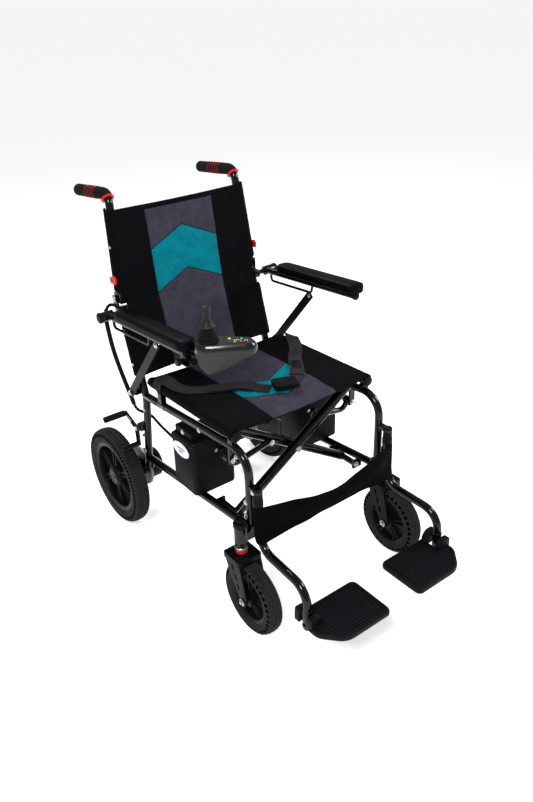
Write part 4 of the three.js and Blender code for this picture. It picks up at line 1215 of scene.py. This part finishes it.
def make_armrests():
    """Armrests with their pads, end caps, pivot covers, struts and bolts."""
    x_axis = Vector((1, 0, 0))
    for side, sign in SIDES:
        body = f"{side}_armrest"
        rounded(f"{side}_armrest_frame", ENAMEL, width=1.2, segments=3)
        rounded(f"{side}_armrest_strut", SATIN, width=1.6, segments=3)
        arm_pad(side, sign)
        tip = Vector((sign * ARM_X, -72, 724))
        way = Vector((0, -392, 31)).normalized()
        across = way.cross(x_axis)
        cap = [ring_of(28, lambda a: tip + way * d + x_axis * r * math.cos(a) + across * r * math.sin(a))
               for d, r in ((-5, 11), (-1, 11.4), (2, 11.4), (4.5, 9), (5.4, 4))]
        piece(f"{side}_armrest_tip", *loft(cap), PLASTIC, body, "plastic")
        cover = [(-8, 13.9), (-8, 15), (-1.5, 15.2), (0, 13.6), (0.8, 8), (-0.2, 7), (-0.2, 0.5)]
        piece(f"{side}_pivot_cover",
              *lathe([(sign * (300.5 + d), r) for d, r in cover], (0, *ARM_PIVOT), "X", 36),
              PLASTIC, body, "plastic")
        steel(f"{side}_strut_bolts", f"{side}_strut", bolt((sign * 255.2, 101, 678), "X", sign, 6, 4),
              bolt((sign * 249.8, 101, 678), "X", -sign, 5, 3))
        steel(f"{side}_strut_foot_bolt", f"{side}_frame", bolt((sign * 258.2, 276, 470), "X", sign, 5.5, 4))


make_armrests()


# ---- joystick -----------------------------------------------------------------------------
POD_ANGLE = math.radians(-40)
STICK = (-240, -122)
POD_JOINT = 739.5
# The pod at each height: height, radius at the stick, radius at the tip, distance between the two centres.
POD_RINGS = [(682, 8, 6, 8), (683.5, 9.6, 7.4, 8.6), (690, 14.6, 10.2, 21), (700, 21.6, 14, 40),
             (708, 24.2, 15.8, 51),
             (717, 27, 17.8, 64), (725, 29.2, 20, 75), (732, 31.2, 22, 83), (737.4, 32.6, 23.6, 87.4),
             (738.4, 32.9, 23.9, 88),
             (739, 32.2, 23.2, 87.6), (740.4, 32.2, 23.2, 87.6), (741, 33, 24, 88), (742, 33.2, 24.2, 88),
             (750, 33.2, 24.2, 88),
             (754, 32.6, 23.7, 87.8), (758, 31, 22.4, 87.2), (761.4, 28.8, 20.8, 86), (763.6, 27, 19.6, 84.8),
             (765, 25.4, 18.6, 84)]
KEYPAD = [(42, -13), (48, -16), (80, -15), (90, -12), (95, -5), (95, 5), (90, 12), (80, 15), (48, 16),
          (42, 13), (38.5, 7),
          (37.5, 0), (38.5, -7)]
# Places on the pod are (distance from the stick towards the tip, distance across).
KEYS = {"power": (76, -8), "horn": (48, 8), "slower": (62, -9), "faster": (76, 8)}
KEY_COLOURS = {"power": RED, "horn": YELLOW, "slower": GREEN, "faster": GREEN}
LAMPS = {"red": (RED, [(56, 0)]), "yellow": (YELLOW, [(60.5, 0), (65, 0)]),
         "green": (GREEN, [(69.5, 0), (74, 0)])}
DOTS = {"white": (LABEL, [(84, -3), (84, 3), (89, -4), (89, 4), (68, 3.5)]),
        "blue": (LABEL_BLUE, [(62, 4), (55, 5.5), (55, -5.5), (49, -6), (49, -1)])}


def on_pod(along, across):
    """The x and y of a place on the pod."""
    c, s = math.cos(POD_ANGLE), math.sin(POD_ANGLE)
    return STICK[0] + along * c - across * s, STICK[1] + along * s + across * c


def on_top(profile, sides, places, closed=False):
    """One upright turned shape at several places on the pod."""
    return [lathe(profile, (*on_pod(*place), 0), "Z", sides, closed) for place in places]


def pod_ring(z, rear, tip, length):
    """The pod's outline at one height: two half circles and the slightly swollen sides between them."""
    ring = []
    for way, centre, here, there in ((1, 0, rear, tip), (-1, length, tip, rear)):
        for k in range(17):
            a = way * math.pi / 2 + math.pi * k / 16
            ring.append((*on_pod(centre + here * math.cos(a), here * math.sin(a)), z))
        for t in (k / 6 for k in range(1, 6)):
            across = here * (1 - t) + there * t + 1.2 * math.sin(math.pi * t)
            ring.append((*on_pod(length * (t if way == 1 else 1 - t), -way * across), z))
    return ring


def pod_fins():
    """Upright ribs round the pod's lower half."""
    rings = [pod_ring(*ring) for ring in POD_RINGS if 689 < ring[0] < 738]
    count, fins = len(rings[0]), []
    for i in (i for i in range(count) if i % 22 not in (0, 21)):
        fin = []
        for ring in rings:
            p = Vector(ring[i])
            way = (Vector(ring[(i + 1) % count]) - Vector(ring[i - 1])).normalized()
            out = Vector((way.y, -way.x, 0))
            fin.append([p - way * 0.7 - out * 0.6, p + way * 0.7 - out * 0.6,
                        p + way * 0.45 + out * 0.9, p - way * 0.45 + out * 0.9])
        fins.append(loft(fin))
    return fins


def make_joystick():
    """The pod on the right armrest, with its keypad, keys, lamps, stick and clamp."""
    body = "right_armrest"
    wells = on_top([(761.3, 0.5), (761.3, 4.6), (768, 4.6), (768, 0.5)], 28, KEYS.values())
    stick_well = lathe([(738, 0.5), (738, 15), (770, 15), (770, 0.5)], (*STICK, 0), "Z", 32)
    pod = piece("joystick_pod", *loft([pod_ring(*ring) for ring in POD_RINGS]), POD, body, "plastic",
                ("joystick_housing",), sharp=32)
    carved(pod, *wells, stick_well)
    pod.data.materials.append(GREY_PLASTIC)
    for face in pod.data.polygons:
        face.material_index = int(face.center.z < POD_JOINT * MM)
    panel = loft([[(*on_pod(*place), z) for place in KEYPAD] for z in (764.6, 765.5)])
    carved(piece("joystick_keypad", *panel, SCREEN, body, "plastic"), *wells)
    piece("joystick_fins", *parts(*pod_fins()), GREY_PLASTIC, body, "plastic")
    dome = [(765.2, 1.9), (766, 1.8), (766.5, 1.2), (766.6, 0.3)]
    for slot, (material, places) in LAMPS.items():
        piece(f"joystick_lamps_{slot}", *parts(*on_top(dome, 14, places)), material, body, slot)
    dot = [(765.2, 1.15), (765.9, 1.05), (766.1, 0.3)]
    for name, (material, places) in DOTS.items():
        piece(f"joystick_lamps_{name}", *parts(*on_top(dot, 12, places)), material, body, "casing")
    rings = on_top([(765.2, 5), (765.2, 6.1), (766, 5.9), (766, 5)], 28, KEYS.values(), closed=True)
    piece("joystick_key_rings", *parts(*rings), PLASTIC, body, "plastic")
    lamp = on_top([(742.5, 0.4), (743, 3), (748, 3), (749, 0.4)], 16, [(-26, -18)])
    piece("joystick_status_lamp", *parts(*lamp), GREEN, body, "green")
    for key, material in KEY_COLOURS.items():
        rounded(f"{key}_button", material, width=0.5, segments=3)
    rounded("joystick_gimbal", STEEL, width=0.5)
    make_gaiter()
    knob = [(744, 0.5), (744, 4), (797.6, 4), (798.4, 15.6), (799.4, 18.2), (801.4, 19), (803.4, 18),
            (806.5, 14.6), (810.5, 11.4),
            (816, 9.6), (822, 8.9), (829, 8.8), (836, 9.2), (842, 9.7), (845.6, 9.3), (847.8, 7.6),
            (848.8, 5), (849, 0.5)]
    piece("joystick_knob_moulded", *lathe(knob, (*STICK, 0), "Z", 48), KNOB, "stick", "rubber",
          ("joystick_knob",), sharp=50)
    bevelled(piece("joystick_bracket", *brick((-286, -96, 700), (-262, -50, 704)), ENAMEL, body, "frame"),
             1.2, 3)
    screw = [(-299, 0.5), (-299, 8), (-297, 9), (-290, 9), (-288, 7), (-286, 4), (-276, 4), (-276, 0.5)]
    piece("joystick_bracket_knob", *lathe(screw, (0, -72, 708), "X", 12), PLASTIC, body, "plastic")


def make_gaiter():
    """Soft bellows from the pod to the stick, in two pieces that meet at the gimbal's height."""
    lower = [(765.4, 24.4), (767.4, 24.6), (769, 23.4), (770.8, 20.6), (772.2, 19.5), (774, 20.2),
             (776, 21.8), (777.6, 21.4),
             (779.4, 18.6), (781, 17)]
    upper = [(781, 17), (782.6, 17.6), (784.6, 18.9), (786.2, 18.4), (787.8, 15.6), (789.2, 14.2),
             (790.8, 14.4), (792.8, 15.2),
             (794.4, 14.2), (796, 11.2), (797, 9.8)]
    for half, profile, bodies, ends, stands_for in (
            ("lower", lower, ("right_armrest", "gimbal"), (0.7655, 0.781), ("joystick_gaiter",)),
            ("upper", upper, ("gimbal", "stick"), (0.781, 0.797), ())):
        fine = [(p.x, p.y) for p in smooth_line([(z, r, 0) for z, r in profile], spacing=0.8)]
        wall = fine + [(z, r - 1.3) for z, r in reversed(fine)]
        bellows = piece(f"joystick_gaiter_{half}", *lathe(wall, (*STICK, 0), "Z", 48, closed=True), RUBBER,
                        None,
                        "rubber", stands_for, sharp=70)
        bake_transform(bellows)


make_joystick()


# ---- battery and controller box -----------------------------------------------------------
def rounded_rect(x0, x1, y0, y1, r, z, steps=6):
    """A level rectangle with rounded corners."""
    ring = []
    for cx, cy, start in ((x1 - r, y1 - r, 0), (x0 + r, y1 - r, 90), (x0 + r, y0 + r, 180),
                          (x1 - r, y0 + r, 270)):
        for k in range(steps + 1):
            a = math.radians(start + 90 * k / steps)
            ring.append((cx + r * math.cos(a), cy + r * math.sin(a), z))
    return ring


def make_boxes():
    """The battery case and the controller box with their fittings, and the battery's label and handle."""
    for node, sign in (("battery_case", -1), ("controller_box", 1)):
        body = BODY[node]
        rounded(node, CASING, width=2.6, segments=3)
        low, high = box(node)
        band = loft([rounded_rect(low.x - g, high.x + g, low.y - g, high.y + g, 9 + g, z)
                     for z, g in ((425.6, -1), (426.2, 0.5), (429.4, 0.5), (430, -1))])
        piece(f"{node}_lid_band", *band, CASING, body, "casing")
        x = sign * 159
        rim = [(0.5, 15.5), (-1.5, 16.5), (-5, 16.5), (-6.5, 15), (-6.5, 12), (-3.5, 11.4), (-3.5, 0.5)]
        piece(f"{node}_socket", *lathe([(low.y + d, r) for d, r in rim], (x, 0, 383), "Y", 48), PLASTIC, body,
              "plastic")
        steel(f"{node}_socket_bolts", body,
              *(bolt((x + d, low.y + 0.2, z), "Y", -1, 3.6, 3) for d, z in ((-20, 397), (20, 369))))
        feet = [lathe([(270, 6), (271, 8), (276.5, 8.4)], (sign * a, b, 0), "Z", 20)
                for a, b in ((232, -8), (138, -8), (232, 62), (138, 62))]
        piece(f"{node}_feet", *parts(*feet), RUBBER, body, "rubber")
    face = box("battery_case")[0].x
    label = [ring_of(48, lambda a: (face - d, 34 + 39 * math.cos(a) * g, 398 + 21 * math.sin(a) * g))
             for d, g in ((-0.5, 1), (0.5, 1), (0.8, 0.97))]
    piece("battery_label", *loft(label), LABEL, "right_frame", "casing")
    bars = [brick((face - 1.2, y0, z), (face - 0.7, y1, z + 4)) for y0, y1,
            z in ((14, 50, 400), (22, 42, 391))]
    piece("battery_label_bars", *parts(*bars), LABEL_BLUE, "right_frame", "casing")
    rounded("battery_handle", PLASTIC, width=2.4, segments=3)
    ribs = [brick((-239.4, y, 438), (-204.6, y + 5, 452)) for y in (3 + 12.4 * k for k in range(6))]
    bevelled(piece("battery_handle_ribs", *parts(*ribs), PLASTIC, "right_frame", "plastic"), 0.8)
    steel("battery_handle_bolt", "right_frame", bolt((-238.5, 35, 446), "X", -1, 5.5, 4))


make_boxes()


# ---- hangers, footplates and brakes -------------------------------------------------------
HANGER_X, FOOT_X, FOOT_Y = 219, 226, -452
HINGE_X, HINGE_Z = 226, 163
RIB_START, RIB_PITCH, RIB_COUNT = -546, 8.7, 15


def plate_rib(sign, y):
    """One rib across a footplate, as long as the plate's outline lets it be."""
    inner, outer = 62, 196 if y > -466 else 228
    if y < -500:
        outer = 226 + (y + 502) * 34 / 54
    if y < -538:
        outer = 186
    return loft([[(sign * (inner + d), y - half, z), (sign * (outer - d), y - half, z),
                  (sign * (outer - d), y + half, z), (sign * (inner + d), y + half, z)]
                 for d, half, z in ((0, 2, 146.5), (1, 1.1, 149.6))])


def make_footplate(side, sign):
    """A footplate with its ribs, hinge lugs and pins."""
    body = f"{side}_plate"
    outline = [(48, -419), (205, -419), (205, -468), (240, -468), (240, -502), (192, -556), (56, -556),
               (48, -546)]
    soft = rounded_outline(outline, [18, 3, 3, 6, 18, 24, 24, 22])

    def shrunk(by, z):
        """The plate's outline at a height, drawn in by some millimetres."""
        cx, cy = 140, -487
        return [(sign * (cx + (x - cx) * (1 - by / 92)), cy + (y - cy) * (1 - by / 68), z) for x, y in soft]

    shapes = [loft([shrunk(by, z) for by,
                    z in ((3, 135), (0.8, 136), (0, 138.5), (0, 146), (0.8, 148.4), (2, 149),
                                                (7, 149), (8, 147))])]
    shapes += [plate_rib(sign, RIB_START + RIB_PITCH * k) for k in range(RIB_COUNT)]
    lug = rounded_outline([(14, 136), (14, 163), (13, 176), (-13, 176), (-25, 158), (-27, 136)],
                          [4, 6, 8, 8, 6, 3])
    for y0, y1 in ((-484, -468), (-436, -420)):
        shapes.append(loft([[(sign * (HINGE_X + x * g), y, 155 + (z - 155) * g) for x, z in lug]
                            for y, g in ((y0, 0.94), (y0 + 1.4, 1), (y1 - 1.4, 1), (y1, 0.94))]))
    hinge = (sign * HINGE_X, 0, HINGE_Z)
    shapes.append(lathe([(-484, 5), (-420, 5)], hinge, "Y", 20))
    piece(f"{side}_footplate_moulded", *parts(*shapes), PLATE, body, SLOT[f"{side}_footplate"],
          (f"{side}_footplate",), sharp=32)
    ends = [[(-485.6, 1), (-485.3, 4.2), (-484.6, 4.8), (-483, 4.8)],
            [(-421, 4.8), (-419.4, 4.8), (-418.7, 4.2), (-418.4, 1)]]
    piece(f"{side}_footplate_pins", *parts(*(lathe(end, hinge, "Y", 20) for end in ends)), SATIN, body,
          "frame")


def make_legs():
    """Hangers with their footplates, and the wheel locks."""
    for side, sign in SIDES:
        leg, x = f"{side}_legrest", sign * FOOT_X
        swung = bent([(sign * HANGER_X, -260, 405), (sign * HANGER_X, -265, 243), (sign * 225, -447, 238),
                      (x, FOOT_Y, 176)],
                     52, step=4)
        foot = loft([rounded_rect(x - g, x + g, FOOT_Y - g, FOOT_Y + g, 9, z) for z, g in
                     ((121, 8), (122.5, 10), (126, 11.2), (178, 11.2), (181, 10.6), (182, 9.8))])
        piece(f"{side}_hanger_tube", *parts(tube(even(swung, 4), 11, sides=28), foot), ENAMEL, leg, "frame",
              (f"{side}_hanger",), sharp=50)
        make_footplate(side, sign)
        piece(f"{side}_hanger_bolt", *bolt((sign * 237.1, FOOT_Y, 138), "X", sign, 4, 3), SATIN, leg, "frame")
        collar = [(368, 11.2), (368, 12.6), (370, 13.6), (386, 13.6), (388, 12.6), (404, 12.4), (405, 11.2)]
        piece(f"{side}_hanger_collar", *lathe(collar, (sign * HANGER_X, -260.6, 0), "Z", 36), PLASTIC, leg,
              "plastic")
        make_brake(side, sign)


def make_brake(side, sign):
    """A wheel lock: lever, rubber grip, ribbed shoe and bolts."""
    body = f"{side}_brake"
    rounded(f"{side}_brake_lever", ENAMEL, width=0.8)
    line = even(bent([(sign * 249, 346.5, 370), (sign * 262, 348, 370), (sign * 307, 372, 355)], 12), 1.0)
    length = len(line) - 1
    grip = tube(line, lambda s: 5 + (4.4 + 0.5 * math.cos(TURN * s / 6)) * rounded_ends(s, length, 2.5, 4),
                sides=28)
    piece(f"{side}_brake_grip", *grip, RUBBER, body, "rubber", (), sharp=70)
    shoe = [(253, 0.5), (253, 7.4)]
    for x in (4.3 * k for k in range(10)):
        shoe += [(254 + x, 8), (256.2 + x, 8), (256.8 + x, 7), (257.8 + x, 7)]
    shoe += [(298, 7.4), (299.2, 6), (299.2, 0.5)]
    shoe = [(sign * x, r) for x, r in shoe]
    piece(f"{side}_brake_shoe", *lathe(shoe, (0, 286, 293.5), "X", 36), RUBBER, body, "rubber")
    steel(f"{side}_brake_bolts", f"{side}_frame", bolt((sign * 249.5, 286, 345), "X", sign, 5.6, 4))
    steel(f"{side}_brake_link", body, bolt((sign * 249.2, 318, 358), "X", sign, 4, 3))


make_legs()


# ---- bolts on the braces and links --------------------------------------------------------
def make_brace_hardware():
    """The bolts at the feet of the braces and at both ends of the links."""
    for side, sign in SIDES:
        y = BRACE_Y[side]
        steel(f"{side}_pivot_bolts", f"{side}_frame",
              bolt((sign * PIVOT_X, -166.3, PIVOT_Z), "Y", -1, 6.5, 5),
              hex_nut((sign * PIVOT_X, -62.4, PIVOT_Z), "Y", 1, 7, 5))
        steel(f"{side}_link_bolts", f"{side}_link", bolt((sign * 84, y - 12.6, 438), "Y", -1, 6, 4.5))
        steel(f"{side}_link_bracket_bolts", f"{side}_frame",
              bolt((sign * 213, y - 20.4, 441.4), "Y", -1, 5.5, 4))


make_brace_hardware()


# ---- floor and light ----------------------------------------------------------------------
FLOOR_SIZE = 60000
LIGHT_STRENGTH, PAPER_GREY = 0.42, 0.97
LIGHTS = (("key", (-1800, -1500, 2600), (0, 0, 500), 750, 70),
          ("side", (2200, -900, 1900), (0, 0, 500), 700, 45),
          ("back", (300, 1900, 2900), (0, 0, 600), 800, 50))


def make_studio():
    """A pale floor, three soft lights, and a world that is paler to the camera than to the chair."""
    corners = [(x * FLOOR_SIZE, y * FLOOR_SIZE, 0) for x, y in ((-1, -1), (1, -1), (1, 1), (-1, 1))]
    piece("floor", corners, [(0, 1, 2, 3)], FLOOR, None, None)
    world = bpy.data.worlds.new("studio")
    world.use_nodes = True
    backdrop = world.node_tree.nodes["Background"]
    backdrop.inputs["Color"].default_value = (1, 1, 1, 1)
    backdrop.inputs["Strength"].default_value = LIGHT_STRENGTH
    nodes, links = world.node_tree.nodes, world.node_tree.links
    paper, choose, rays = (nodes.new(f"ShaderNode{kind}") for kind in ("Background", "MixShader",
                                                                       "LightPath"))
    paper.inputs["Color"].default_value = (PAPER_GREY, PAPER_GREY, PAPER_GREY, 1)
    links.new(rays.outputs["Is Camera Ray"], choose.inputs["Fac"])
    links.new(backdrop.outputs[0], choose.inputs[1])
    links.new(paper.outputs[0], choose.inputs[2])
    links.new(choose.outputs[0], nodes["World Output"].inputs["Surface"])
    bpy.context.scene.world = world
    for name, at, aim, size, power in LIGHTS:
        data = bpy.data.lights.new(name, "AREA")
        data.size, data.energy = size * MM, power
        facing = (Vector(at) - Vector(aim)).to_track_quat("Z", "Y").to_matrix().to_4x4()
        shown(name, data).matrix_world = Matrix.Translation(Vector(at) * MM) @ facing
    bpy.context.scene.view_settings.view_transform = "Standard"


make_studio()
